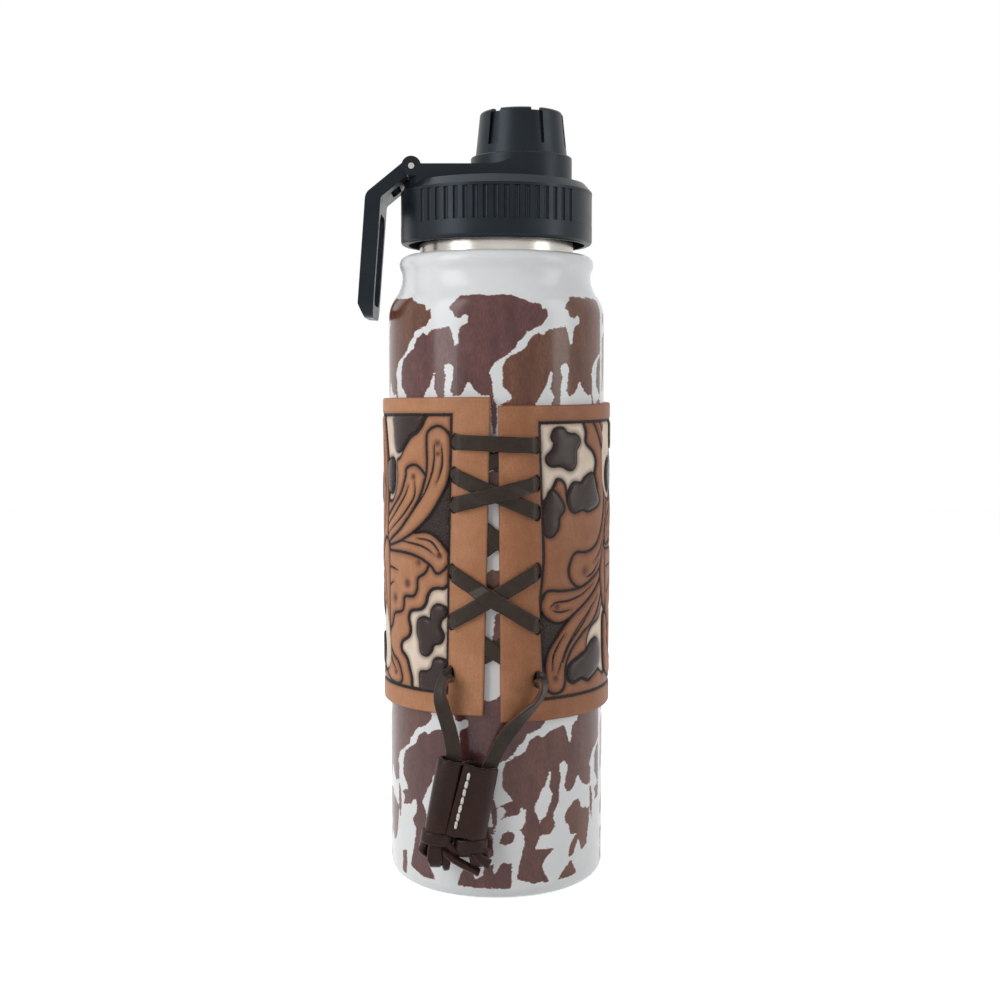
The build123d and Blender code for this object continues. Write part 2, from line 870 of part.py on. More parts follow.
# Spout cap: a flared wall, a dished top, and grip slots that break through the rim
cap_middle = (spout_x, 0, 0)
with BuildPart() as spout_cap:
    with BuildSketch(Plane(origin=cap_middle, x_dir=(1, 0, 0), z_dir=(0, -1, 0))):
        with BuildLine():
            Polyline(
                (cap_bore, cap_bottom),
                (cap_radius_low, cap_bottom),
                (cap_radius_low, ring_top),
                (cap_radius_top, cap_top - cap_round),
            )
            TangentArc(
                (cap_radius_top, cap_top - cap_round),
                (cap_radius_top - cap_round, cap_top),
                tangent=UP,
            )
            Polyline(
                (cap_radius_top - cap_round, cap_top),
                (dish_radius, cap_top),
                (dish_radius, dish_floor),
                (0, dish_floor),
                (0, cap_ceiling),
                (cap_bore, cap_ceiling),
                (cap_bore, cap_bottom),
            )
        make_face()
    revolve(axis=Axis(cap_middle, (0, 0, 1)))
    slot_low = ring_top + cap_slot_low
    slot_turn = math.degrees(cap_slot_width / cap_radius_top)
    for number in range(cap_slot_count):
        start = math.radians(cap_slot_angle + number * 360 / cap_slot_count - slot_turn / 2)
        radial = (math.cos(start), math.sin(start), 0)
        facing = (math.sin(start), -math.cos(start), 0)
        with BuildSketch(Plane(origin=cap_middle, x_dir=radial, z_dir=facing)):
            with BuildLine():
                Polyline(
                    (cap_radius_low - cap_slot_depth, slot_low),
                    (cap_radius_low + OVERRUN, slot_low),
                    (cap_radius_low + OVERRUN, cap_top + OVERRUN),
                    (dish_radius - FIT, cap_top + OVERRUN),
                    (dish_radius - FIT, dish_floor),
                    (cap_radius_top - cap_slot_depth, dish_floor),
                    close=True,
                )
            make_face()
        revolve(axis=Axis(cap_middle, (0, 0, 1)), revolution_arc=slot_turn, mode=Mode.SUBTRACT)
spout_cap.part.label = "spout_cap"

# Seal disc inside the cap
with BuildPart() as cap_seal:
    with BuildSketch(Plane.XY.offset(spout_top)):
        with Locations((spout_x, 0)):
            Circle(cap_bore - cap_bore_play / 2)
    extrude(amount=cap_seal_thickness)
cap_seal.part.label = "cap_seal"

# Carry handle: barrel on the pin, sloping arm and strap with a finger window
lean = math.radians(strap_lean)
arm_dir = Vector(-math.cos(arm), -math.sin(arm))
arm_out = Vector(-math.sin(arm), math.cos(arm))
strap_dir = Vector(-math.sin(lean), -math.cos(lean))
strap_in = Vector(math.cos(lean), -math.sin(lean))
pivot = Vector(pin_x, pin_z)
arm_top = pivot + arm_out * ear_radius
arm_under = pivot + arm_out * (ear_radius - arm_thickness)
corner_out = arm_top + arm_dir * arm_length
strap_foot = corner_out + strap_dir * strap_length
inner_start = corner_out + strap_in * strap_thickness
gap = arm_under - inner_start
turn = arm_dir.X * strap_dir.Y - arm_dir.Y * strap_dir.X
reach = (gap.X * strap_dir.Y - gap.Y * strap_dir.X) / -turn
corner_in = arm_under + arm_dir * reach
foot_in = strap_foot + strap_in * strap_thickness
with BuildPart() as carry_handle:
    with BuildSketch(Plane.XZ.offset(-barrel_half)):
        with BuildLine():
            Polyline(
                arm_top,
                corner_out,
                strap_foot - strap_dir * foot_taper_height,
                strap_foot + strap_in * foot_taper,
                foot_in,
                corner_in,
                arm_under,
                close=True,
            )
        make_face()
        with Locations(pivot):
            Circle(ear_radius)
    extrude(amount=2 * barrel_half)
    bend = carry_handle.edges().filter_by(Axis.Y).sort_by_distance((corner_out.X, 0, corner_out.Y))[0]
    fillet(bend, radius=corner_round)
    bend = carry_handle.edges().filter_by(Axis.Y).sort_by_distance((corner_in.X, 0, corner_in.Y))[0]
    fillet(bend, radius=inner_round)
    strap_plane = Plane(
        origin=(corner_out.X, 0, corner_out.Y),
        x_dir=(0, 1, 0),
        z_dir=(strap_in.X, 0, strap_in.Y),
    )
    with BuildSketch(strap_plane.offset(-OVERRUN)):
        RectangleRounded(2 * barrel_half, 2 * strap_length, loop_corner)
    extrude(amount=2 * arm_length, mode=Mode.INTERSECT)
    window_y = -(strap_length - window_foot - window_height / 2)
    with BuildSketch(strap_plane.offset(-OVERRUN)):
        with Locations((0, window_y)):
            RectangleRounded(window_width, window_height, window_round)
    extrude(amount=strap_thickness + 3 * OVERRUN, mode=Mode.SUBTRACT)
    upper_y = -(pad_start + pad_upper_length / 2)
    lower_y = -(pad_start + pad_upper_length + pad_break + pad_lower_length / 2)
    pad_width = 2 * (barrel_half - pad_margin)
    with BuildSketch(strap_plane.offset(-OVERRUN)):
        with Locations((0, upper_y)):
            Rectangle(pad_width, pad_upper_length)
        with Locations((0, lower_y)):
            Rectangle(pad_width, pad_lower_length)
    extrude(amount=pad_depth + OVERRUN, mode=Mode.SUBTRACT)
    arm_plane = Plane(
        origin=(arm_top.X, 0, arm_top.Y),
        x_dir=(0, 1, 0),
        z_dir=(-arm_out.X, 0, -arm_out.Y),
    )
    with BuildSketch(arm_plane.offset(-OVERRUN)):
        with Locations((0, -arm_slot_share * arm_length)):
            RectangleRounded(arm_slot_width, arm_slot_length, arm_slot_length / 3)
    extrude(amount=arm_thickness + 2 * OVERRUN, mode=Mode.SUBTRACT)
    with Locations(Plane(origin=(pin_x, -barrel_half, pin_z), z_dir=(0, -1, 0))):
        Hole(pin_radius + pin_play, depth=2 * barrel_half)
carry_handle.part.label = "carry_handle"

# Soft pads let into the strap's outer face, round the window
with BuildPart() as handle_pads:
    with BuildSketch(strap_plane):
        with Locations((0, upper_y)):
            Rectangle(pad_width - 2 * FIT, pad_upper_length - 2 * FIT)
        with Locations((0, lower_y)):
            Rectangle(pad_width - 2 * FIT, pad_lower_length - 2 * FIT)
        with Locations((0, window_y)):
            RectangleRounded(window_width, window_height, window_round, mode=Mode.SUBTRACT)
    extrude(amount=pad_depth)
handle_pads.part.label = "handle_pads"

pieces = {
    "bottle_shell": bottle_shell.part,
    "pressure_disc": pressure_disc.part,
    "vacuum_seal": vacuum_seal.part,
    "base_plate": base_plate.part,
    "inner_flask": inner_flask.part,
    "leather_sleeve": leather_sleeve.part,
    "lacing": lacing.part,
    "lace_tail_left": lace_tail_left,
    "lace_tail_right": lace_tail_right,
    "lace_end_left": lace_end_left,
    "lace_end_right": lace_end_right,
    "lace_slider": lace_slider.part,
    "slider_stitches": slider_stitches.part,
    "lid_body": lid_body.part,
    "grip_band": grip_band.part,
    "lid_core": lid_core.part,
    "lid_seal": lid_seal.part,
    "hinge_pin": hinge_pin.part,
    "spout_cap": spout_cap.part,
    "cap_seal": cap_seal.part,
    "carry_handle": carry_handle.part,
    "handle_pads": handle_pads.part,
}
for name, piece in pieces.items():
    export_step(piece, f"parts/{name}.step")
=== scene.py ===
"""Looks of the insulated bottle in its laced leather sleeve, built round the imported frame.

The frame is in metres. Shapes are worked out in millimetres, and MM turns them into metres.
"""

import math

import bpy
import numpy as np
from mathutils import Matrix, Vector


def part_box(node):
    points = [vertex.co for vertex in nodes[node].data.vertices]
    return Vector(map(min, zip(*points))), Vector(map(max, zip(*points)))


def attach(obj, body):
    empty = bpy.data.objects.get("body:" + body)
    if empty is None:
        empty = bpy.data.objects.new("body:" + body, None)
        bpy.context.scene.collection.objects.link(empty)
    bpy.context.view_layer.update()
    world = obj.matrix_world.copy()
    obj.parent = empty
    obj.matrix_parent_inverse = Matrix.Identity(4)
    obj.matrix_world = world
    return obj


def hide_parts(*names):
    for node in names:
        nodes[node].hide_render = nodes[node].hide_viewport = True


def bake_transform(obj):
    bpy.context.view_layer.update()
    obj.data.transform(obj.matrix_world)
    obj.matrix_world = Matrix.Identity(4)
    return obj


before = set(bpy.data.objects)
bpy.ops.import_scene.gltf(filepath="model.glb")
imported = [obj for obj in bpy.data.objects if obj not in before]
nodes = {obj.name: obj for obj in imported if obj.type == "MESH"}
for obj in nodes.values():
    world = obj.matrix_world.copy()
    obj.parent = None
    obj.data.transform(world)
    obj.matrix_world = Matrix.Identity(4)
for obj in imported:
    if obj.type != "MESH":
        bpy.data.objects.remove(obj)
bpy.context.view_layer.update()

MM = 0.001
scene = bpy.context.scene


# Camera, at the photograph's viewing angle

CAMERA_PLACE = (0.0012, -0.497, 0.1665)
CAMERA_PITCH = 4.4
CAMERA_LENS = 52.2

camera = bpy.data.objects.new("camera", bpy.data.cameras.new("camera"))
camera.location = CAMERA_PLACE
camera.rotation_euler = (math.radians(90 - CAMERA_PITCH), 0, 0)
camera.data.lens = CAMERA_LENS
camera.data.sensor_width = 36
scene.collection.objects.link(camera)
scene.camera = camera


# Helpers for node materials

MOST = (0.3, 0.7)  # The range that holds most of a noise's values


def rgb(red, green, blue, alpha=1.0):
    return (red, green, blue, alpha)


def grey(value):
    return (value, value, value)


def feed(socket, value):
    """Link another node's output to a socket, or set the socket's own value."""
    if isinstance(value, bpy.types.NodeSocket):
        socket.id_data.links.new(value, socket)
    else:
        socket.default_value = value


def set_inputs(node, **inputs):
    """An input goes by its name, or by its number as in i0."""
    for key, value in inputs.items():
        numbered = key[0] == "i" and key[1:].isdigit()
        feed(node.inputs[int(key[1:]) if numbered else key.replace("_", " ")], value)


def add_node(tree, kind, settings=None, **inputs):
    made = tree.nodes.new(kind)
    for key, value in (settings or {}).items():
        setattr(made, key, value)
    set_inputs(made, **inputs)
    return made


def math_node(tree, operation, first, second=0.0, clamp=False):
    settings = {"operation": operation, "use_clamp": clamp}
    return add_node(tree, "ShaderNodeMath", settings, i0=first, i1=second).outputs[0]


def mapped(tree, value, low, high, to_low=0.0, to_high=1.0, smooth=False):
    """A value moved from one range to another, held at its ends."""
    settings = {"interpolation_type": "SMOOTHSTEP" if smooth else "LINEAR"}
    ranges = {"From_Min": low, "From_Max": high, "To_Min": to_low, "To_Max": to_high}
    return add_node(tree, "ShaderNodeMapRange", settings, Value=value, **ranges).outputs["Result"]


def mixed(tree, share, first, second, blend="MIX"):
    """Two colours mixed by a share."""
    made = add_node(tree, "ShaderNodeMix", {"data_type": "RGBA", "blend_type": blend}, i0=share)
    for number, colour in ((6, first), (7, second)):
        linked = isinstance(colour, bpy.types.NodeSocket)
        feed(made.inputs[number], colour if linked else rgb(*colour))
    return made.outputs[2]


def object_place(tree, stretch=(1, 1, 1)):
    """The point on the piece, in metres of the shared frame, stretched for streaks."""
    place = add_node(tree, "ShaderNodeTexCoord").outputs["Object"]
    return add_node(tree, "ShaderNodeVectorMath", {"operation": "MULTIPLY"}, i0=place, i1=stretch).outputs[0]


def noise(tree, place, scale, detail=3.0, roughness=0.5):
    inputs = {"Vector": place, "Scale": scale, "Detail": detail, "Roughness": roughness}
    return add_node(tree, "ShaderNodeTexNoise", **inputs).outputs["Fac"]


def cells(tree, place, scale):
    return add_node(tree, "ShaderNodeTexVoronoi", Vector=place, Scale=scale).outputs["Distance"]


def attribute(tree, name):
    return add_node(tree, "ShaderNodeAttribute", {"attribute_name": name}).outputs["Fac"]


def bump(tree, height, strength, distance, normal=None):
    made = add_node(tree, "ShaderNodeBump", Height=height, Strength=strength, Distance=distance)
    if normal is not None:
        feed(made.inputs["Normal"], normal)
    return made.outputs[0]


def cleared(holder):
    """The empty node tree of a material or of the world."""
    holder.use_nodes = True
    holder.node_tree.nodes.clear()
    return holder.node_tree


def new_material(name):
    """A material with its tree and its principled shader."""
    material = bpy.data.materials.new(name)
    tree = cleared(material)
    shader = add_node(tree, "ShaderNodeBsdfPrincipled")
    add_node(tree, "ShaderNodeOutputMaterial", i0=shader.outputs[0])
    return material, tree, shader


# Materials of the nodes that keep their shape

def steel_material():
    material, tree, shader = new_material("polished_steel")
    streaks = noise(tree, object_place(tree, (30, 30, 2400)), 1.0, 4.0)
    cloud = noise(tree, object_place(tree), 60.0, 2.0)
    set_inputs(
        shader,
        Base_Color=mixed(tree, mapped(tree, cloud, *MOST), (0.46, 0.43, 0.39), (0.6, 0.57, 0.52)),
        Metallic=1.0,
        Roughness=mapped(tree, streaks, *MOST, 0.18, 0.34),
        Normal=bump(tree, streaks, 0.06, 0.0001),
    )
    return material


def plastic_material(name="black_plastic", tone=0.006, roughness=0.34):
    material, tree, shader = new_material(name)
    fine = noise(tree, object_place(tree), 2600.0, 3.0, 0.6)
    worn = noise(tree, object_place(tree), 90.0, 4.0, 0.55)
    dark = (tone, tone * 1.35, tone * 1.8)
    light = (tone * 1.5, tone * 2.1, tone * 2.9)
    set_inputs(
        shader,
        Base_Color=mixed(tree, mapped(tree, worn, 0.35, 0.7), dark, light),
        Roughness=mapped(tree, worn, 0.3, 0.75, roughness - 0.05, roughness + 0.08),
        Specular_IOR_Level=0.26,
        Specular_Tint=rgb(0.78, 0.9, 1.0),
        Normal=bump(tree, fine, 0.18, 0.00012),
    )
    return material


def silicone_material():
    material, tree, shader = new_material("silicone")
    cloud = noise(tree, object_place(tree), 220.0)
    set_inputs(
        shader,
        Base_Color=mixed(tree, cloud, (0.62, 0.62, 0.6), (0.74, 0.74, 0.72)),
        Roughness=0.45,
        Subsurface_Weight=0.2,
        Subsurface_Scale=0.002,
        Normal=bump(tree, cloud, 0.1, 0.0002),
    )
    return material


def dress(material, *names):
    for name in names:
        mesh = nodes[name].data
        mesh.materials.clear()
        mesh.materials.append(material)


dress(steel_material(), "inner_flask", "pressure_disc", "vacuum_seal", "base_plate", "hinge_pin")
dress(plastic_material(), "lid_body", "grip_band", "lid_core", "spout_cap", "carry_handle")
dress(plastic_material("pad_rubber", 0.012, 0.5), "handle_pads")
dress(silicone_material(), "lid_seal", "cap_seal")


# Stage and light

FLOOR_HALF = 1.5
FLOOR_DROP = 0.0002
FLOOR_TONE = 0.8
FLOOR_GLOW = 0.8
WORLD_LIGHT, WORLD_SEEN = 0.2, 1.0
MIDDLE = (0, 0, 0.13)
SOFTBOXES = (
    ("key_left", (-0.75, -0.55, 0.55), (0.5, 0.9), 5.7),
    ("fill_right", (0.85, -0.3, 0.4), (0.35, 0.9), 2.9),
    ("top", (-0.15, 0.25, 0.95), (0.7, 0.7), 1.9),
)

floor_mesh = bpy.data.meshes.new("floor")
corners = [(x * FLOOR_HALF, y * FLOOR_HALF, -FLOOR_DROP) for x, y in ((-1, -1), (1, -1), (1, 1), (-1, 1))]
floor_mesh.from_pydata(corners, [], [(0, 1, 2, 3)])
floor = bpy.data.objects.new("floor", floor_mesh)
scene.collection.objects.link(floor)


def seen_directly(tree):
    """1 where a ray comes straight from the eye, or off a mirror or through glass."""
    path = add_node(tree, "ShaderNodeLightPath")
    rays = [path.outputs[name] for name in ("Is Camera Ray", "Is Glossy Ray", "Is Transmission Ray")]
    return math_node(tree, "MAXIMUM", math_node(tree, "MAXIMUM", rays[0], rays[1]), rays[2])


def floor_material():
    """Pale floor: it glows to the eye just enough to meet the white backdrop, and keeps the shadow."""
    material = bpy.data.materials.new("floor")
    tree = cleared(material)
    matt = add_node(tree, "ShaderNodeBsdfDiffuse", Color=rgb(*grey(FLOOR_TONE)))
    strength = mapped(tree, seen_directly(tree), 0, 1, 0, FLOOR_GLOW)
    glow = add_node(tree, "ShaderNodeEmission", Color=rgb(1, 1, 1), Strength=strength)
    both = add_node(tree, "ShaderNodeAddShader", i0=matt.outputs[0], i1=glow.outputs[0])
    add_node(tree, "ShaderNodeOutputMaterial", i0=both.outputs[0])
    return material


def light_world(world):
    """Soft white light that is weaker on the object than it looks to the eye."""
    tree = cleared(world)
    strength = mapped(tree, seen_directly(tree), 0, 1, WORLD_LIGHT, WORLD_SEEN)
    backdrop = add_node(tree, "ShaderNodeBackground", Color=rgb(1, 1, 1), Strength=strength)
    add_node(tree, "ShaderNodeOutputWorld", i0=backdrop.outputs[0])


def softbox(name, place, size, watts):
    data = bpy.data.lights.new(name, "AREA")
    data.shape = "RECTANGLE"
    data.size, data.size_y = size
    data.energy = watts
    light = bpy.data.objects.new(name, data)
    light.location = place
    light.rotation_euler = (Vector(MIDDLE) - Vector(place)).to_track_quat("-Z", "Y").to_euler()
    scene.collection.objects.link(light)


floor_mesh.materials.append(floor_material())
scene.world = bpy.data.worlds.new("studio")
light_world(scene.world)
for box in SOFTBOXES:
    softbox(*box)
scene.view_settings.view_transform = "Standard"


# Pieces and their meshes

def add_piece(mesh, material, body, slot, *replaced, sharp=60):
    """A smooth shaded piece for CAD nodes. It rides on a body, or without one has no parent."""
    mesh.polygons.foreach_set("use_smooth", [True] * len(mesh.polygons))
    mesh.set_sharp_from_angle(angle=math.radians(sharp))
    mesh.materials.append(material)
    piece = bpy.data.objects.new(mesh.name, mesh)
    scene.collection.objects.link(piece)
    if body:
        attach(piece, body)
    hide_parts(*replaced)
    return piece


def store(mesh, **values):
    """Numbers kept on the mesh's points for its material."""
    for name, value in values.items():
        made = mesh.attributes.new(name, "FLOAT", "POINT")
        made.data.foreach_set("value", np.asarray(value, np.float32))


def quarter(centre, radius, start, end, count):
    """Points of an arc, by its angles in degrees from outward."""
    angles = np.radians(np.linspace(start, end, count + 1))
    return [(centre[0] + radius * math.cos(a), centre[1] + radius * math.sin(a)) for a in angles]


# Shapes drawn on the flat: signed distances in millimetres, above zero inside

BEYOND = 1e9


def smooth_share(value, low, high):
    share = np.clip((value - low) / (high - low), 0, 1)
    return share * share * (3 - 2 * share)


def outline_distance(points, outline):
    """Signed distance of each point to a closed outline."""
    corner = np.array(outline, float)
    following = np.roll(corner, -1, axis=0)
    edge = following - corner
    best = np.full(len(points), BEYOND)
    inside = np.zeros(len(points), bool)
    for (x, y), (ex, ey), (_, end_y) in zip(corner, edge, following):
        dx, dy = points[:, 0] - x, points[:, 1] - y
        share = np.clip((dx * ex + dy * ey) / (ex * ex + ey * ey), 0, 1)
        best = np.minimum(best, (dx - share * ex) ** 2 + (dy - share * ey) ** 2)
        if ey:
            inside ^= ((y > points[:, 1]) != (end_y > points[:, 1])) & (dx < ex * dy / ey)
    return np.where(inside, 1, -1) * np.sqrt(best)


def line_distance(points, path):
    """Distance to an open line, and the share of the way along it."""
    best, along = np.full(len(points), BEYOND), np.zeros(len(points))
    runs = np.diff(path, axis=0)
    for number, ((x, y), (ex, ey)) in enumerate(zip(path, runs)):
        dx, dy = points[:, 0] - x, points[:, 1] - y
        share = np.clip((dx * ex + dy * ey) / (ex * ex + ey * ey), 0, 1)
        distance = (dx - share * ex) ** 2 + (dy - share * ey) ** 2
        nearer = distance < best
        best = np.where(nearer, distance, best)
        along = np.where(nearer, (number + share) / len(runs), along)
    return np.sqrt(best), along


def near(points, outline, margin):
    """Which points lie in the outline's box, grown by a margin."""
    corner = np.array(outline, float)
    low, high = corner.min(0) - margin, corner.max(0) + margin
    return np.flatnonzero(((points > low) & (points < high)).all(1))


def shifted(outline, along=0.0, up=0.0, mirror=1.0):
    return [(along + mirror * x, up + y) for x, y in outline]


# Bottle's coat: the shell's outside with its hide spots, by arc length from the front and height

BODY_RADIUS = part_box("bottle_shell")[1].x / MM
SHELL_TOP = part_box("bottle_shell")[1].z / MM
BASE_CORNER = 4.5
FOOT_WIDTH = 1.5
FOOT_DEPTH = 6.0
SHOULDER_START = 190.0
GROOVE_INSET = 4.65
GROOVE_Z = 204.0
BEAD_PROUD = 1.0
BEAD_Z = 208.0
BEAD_ROUND = 2.9
NECK_RADIUS = BODY_RADIUS - 10.4
LIP = ((0.4, 0), (0, -0.3), (0, -4))
FOOT_STEPS, SHOULDER_STEPS, GROOVE_STEPS, BEAD_STEPS = 8, 10, 5, 6
COAT_COLUMNS = 300
COAT_STEP = 0.9


def s_bend(start, end, count):
    """Two equal arcs from one upright heading to the same heading further in or out."""
    across, rise = end[0] - start[0], end[1] - start[1]
    turn = 2 * math.atan2(abs(across), rise)
    radius = rise / 2 / math.sin(turn)
    half = []
    for number in range(1, count + 1):
        angle = turn * number / count
        half.append((radius * (1 - math.cos(angle)) * math.copysign(1, across), radius * math.sin(angle)))
    first = [(start[0] + x, start[1] + z) for x, z in half]
    second = [(end[0] - x, end[1] - z) for x, z in reversed(half[:-1])]
    return [start] + first + second + [end]


def coat_profile():
    groove, bead = BODY_RADIUS - GROOVE_INSET, BODY_RADIUS - GROOVE_INSET + BEAD_PROUD
    foot = BODY_RADIUS - BASE_CORNER
    points = [(foot - FOOT_WIDTH, FOOT_DEPTH), (foot - FOOT_WIDTH, 0), (foot, 0)]
    points += quarter((foot, BASE_CORNER), BASE_CORNER, -90, 0, FOOT_STEPS)[1:]
    wall = SHOULDER_START - BASE_CORNER
    rows = round(wall / COAT_STEP)
    points += [(BODY_RADIUS, BASE_CORNER + wall * n / rows) for n in range(1, rows)]
    points += s_bend((BODY_RADIUS, SHOULDER_START), (groove, GROOVE_Z), SHOULDER_STEPS)
    points += s_bend((groove, GROOVE_Z), (bead, BEAD_Z), GROOVE_STEPS)[1:]
    points += quarter((bead - BEAD_ROUND, BEAD_Z), BEAD_ROUND, 0, 90, BEAD_STEPS)[1:]
    return points + [(NECK_RADIUS + x, SHELL_TOP + z) for x, z in LIP]


def turned_mesh(name, profile, columns):
    """A surface turned about the upright axis from (radius, height) points, front column first."""
    angles = np.arange(columns) * 2 * math.pi / columns
    profile = np.array(profile)
    x = np.outer(profile[:, 0], np.sin(angles))
    y = np.outer(profile[:, 0], -np.cos(angles))
    z = np.repeat(profile[:, 1:], columns, axis=1)
    verts = np.stack([x, y, z], axis=-1).reshape(-1, 3) * MM
    faces = []
    for row in range(len(profile) - 1):
        for column in range(columns):
            following = (column + 1) % columns
            a, b = row * columns, (row + 1) * columns
            faces.append((a + column, a + following, b + following, b + column))
    mesh = bpy.data.meshes.new(name)
    mesh.from_pydata(verts.tolist(), [], faces)
    return mesh


# One hide spot of the print, its notch, and the smaller spots between its repeats
HIDE_SPOT = (
    (-12.2, 196.1), (5.3, 196), (12, 193.6), (14.4, 193.4), (15.2, 191.5), (16.7, 192), (17, 189.4),
    (14.7, 186.4), (12.6, 185.5), (10, 184.6), (9.2, 183), (6.8, 181), (5.8, 178.8), (3.1, 176.8),
    (1, 175.8), (-0.6, 174.2), (-2.2, 171.2), (-1.3, 169.8), (-1.2, 164.5), (0.3, 160.5), (0.2, 156),
    (-0.5, 151), (-1.5, 156), (-1.6, 160), (-2, 164.6), (-4.3, 164.3), (-6.4, 165.4), (-8.9, 168.8),
    (-11.2, 164.6), (-13.7, 163.8), (-15.1, 165.6), (-14.4, 169.5), (-14, 173), (-15.2, 174.6),
    (-17.3, 173.9), (-17.1, 171.4), (-16.6, 170.6), (-17.3, 166.5), (-17.2, 161.5), (-19.2, 158.5),
    (-19.8, 156), (-18.8, 153.6), (-20.6, 151.1), (-24.5, 150.7), (-26.6, 146.6), (-19, 146.2),
    (-22.4, 143.2), (-23.9, 140.4), (-21.4, 135.3), (-26.4, 135.1), (-32.9, 137.4), (-31.2, 143.5),
    (-30.2, 148), (-29.8, 151.2), (-31.9, 153.6), (-29.5, 156), (-29.4, 160.2), (-31, 160.8),
    (-32.3, 158.6), (-37.7, 157.3), (-36.3, 160.2), (-38.2, 161.6), (-33.8, 163.4), (-35.6, 165.6),
    (-37.4, 167.3), (-37.3, 170.6), (-37.3, 173), (-36, 175.8), (-30, 179.5), (-28.6, 182.5),
    (-25.5, 184.4), (-24.1, 183.4), (-21.6, 185.3), (-19.4, 185.5), (-15.5, 186.5), (-14.8, 185.4),
    (-13.5, 180.3), (-12.3, 180.3), (-12, 185.3), (-10.7, 187.1), (-9.5, 186.9), (-9.1, 189.2),
    (-10.2, 189.9), (-11.7, 188.7), (-13.7, 189.4), (-14.2, 191.2), (-15.6, 192), (-14.2, 193.7),
)
HIDE_NOTCH = (
    (-21, 172), (-21.9, 170), (-22.6, 167.6), (-24.4, 165.2), (-26.9, 160.3), (-25.4, 157.6),
    (-24.7, 155.2), (-21.9, 158.3), (-19.9, 164.2), (-21.2, 166.6), (-20.6, 171),
)
SMALL_SPOTS = (
    (
        (30.6, 30.6), (32.5, 27.4), (37.6, 26.2), (37.2, 22), (35.3, 14.5), (32.3, 12.6), (31, 17.2),
        (28.2, 12.6), (25.5, 11.4), (27, 16.3), (30, 19.2), (27, 19.6), (26.3, 22.3), (23.8, 24.6),
        (25.2, 28.1), (28, 30.4),
    ),
    ((27.1, 10.9), (28.8, 7.8), (30.3, 5.6), (21.2, 5), (23.6, 8)),
    ((3.8, 23.3), (6, 22.2), (5.6, 19.6), (2.9, 18.5), (1, 19.4), (2.1, 22)),
    (
        (-11.2, 10.2), (-13.4, 4.6), (1, 4.2), (4.8, 4.2), (5.2, 12.3), (2.1, 12.7), (-0.9, 8.8),
        (-1.1, 12.3), (-4.1, 12.1), (-4.4, 8.6), (-6.9, 7.4), (-7.6, 9.6),
    ),
    ((-0.8, 24.6), (-1.4, 21.6), (-0.9, 15), (-4.8, 13.2), (-5.6, 20), (-4.4, 25)),
    ((-35, 12.2), (-37.9, 11.6), (-38.2, 4.6), (-35.2, 3.2)),
    ((-41, 26), (-47.5, 29), (-50.5, 22), (-47, 13.5), (-42.5, 17)),
    ((-1.6, 108.4), (1.8, 108.8), (4.2, 105.6), (2.6, 102.2), (-0.4, 100.8), (-3.4, 103), (-4, 106.4)),
    ((-0.4, 94.2), (3.2, 95.6), (6, 90), (4.6, 83), (0.8, 81.6), (-1.2, 86), (-0.6, 90.4)),
    ((-2.5, 64.5), (-0.6, 66.6), (1.4, 68.2), (2.6, 71.2), (6, 73), (7, 64)),
    ((-4.4, 139.4), (0.4, 140.6), (4.4, 138.6), (3.8, 134.2), (0.2, 132.4), (-3.6, 133.6)),
)
SPOT_STEP = 39.3
PRINT_STEP = 130.0
SPOT_REPEATS = range(-5, 3)
SMALL_REPEATS = (-5, -4, -3, -2, 0)
SMALL_AT_ODD = (0, 2, 3, 4)
SMALL_BROWN = (0, 1, 5, 7)
LOWER_BROWN, SMALL_MAROON = 0.35, 0.1
SPOT_REACH = 5.0
SEAM_AT = 46.4
SEAM_WIDTH = 2.4
PRINT_LOW, PRINT_HIGH = 3.6, 196.2
FAR = 9.0


def spot_copies():
    """Every spot of the print, as its outline, how brown it is, and 1 for a spot or -1 for a notch."""
    for number in SPOT_REPEATS:
        for shift, strength in ((0, 1), (-PRINT_STEP, LOWER_BROWN)):
            brown = strength * (number % 2)
            yield shifted(HIDE_SPOT, number * SPOT_STEP, shift), brown, 1
            yield shifted(HIDE_NOTCH, number * SPOT_STEP, shift), brown, -1
    for number in SMALL_REPEATS:
        for place, outline in enumerate(SMALL_SPOTS):
            if number % 2 == 0 or place in SMALL_AT_ODD:
                yield shifted(outline, number * SPOT_STEP), 1 if place in SMALL_BROWN else SMALL_MAROON, 1


def coat_spots(points):
    """Signed distance to the spots' edges, and each spot's tone from maroon to brown."""
    spot = np.full(len(points), -FAR)
    tone = np.full(len(points), 0.5)
    for outline, brown, sign in spot_copies():
        chosen = near(points, outline, SPOT_REACH)
        if not len(chosen):
            continue
        distance = outline_distance(points[chosen], outline)
        if sign > 0:
            tone[chosen[distance > spot[chosen]]] = brown
            spot[chosen] = np.maximum(spot[chosen], distance)
        else:
            spot[chosen] = np.minimum(spot[chosen], -distance)
    girth = math.pi * BODY_RADIUS
    from_seam = np.abs((points[:, 0] - SEAM_AT + girth) % (2 * girth) - girth)
    spot = np.minimum(spot, from_seam - SEAM_WIDTH / 2)
    spot = np.minimum(spot, points[:, 1] - PRINT_LOW)
    return np.minimum(spot, PRINT_HIGH - points[:, 1]), tone


def unrolled(mesh):
    """Each point's arc length from the front, counted back from the print's seam, and its height."""
    place = np.zeros(len(mesh.vertices) * 3)
    mesh.vertices.foreach_get("co", place)
    place = place.reshape(-1, 3) / MM
    turn = (np.arctan2(place[:, 0], -place[:, 1]) - SEAM_AT / BODY_RADIUS) % (2 * math.pi)
    return np.stack([SEAM_AT + BODY_RADIUS * (turn - 2 * math.pi), place[:, 2]], axis=1)


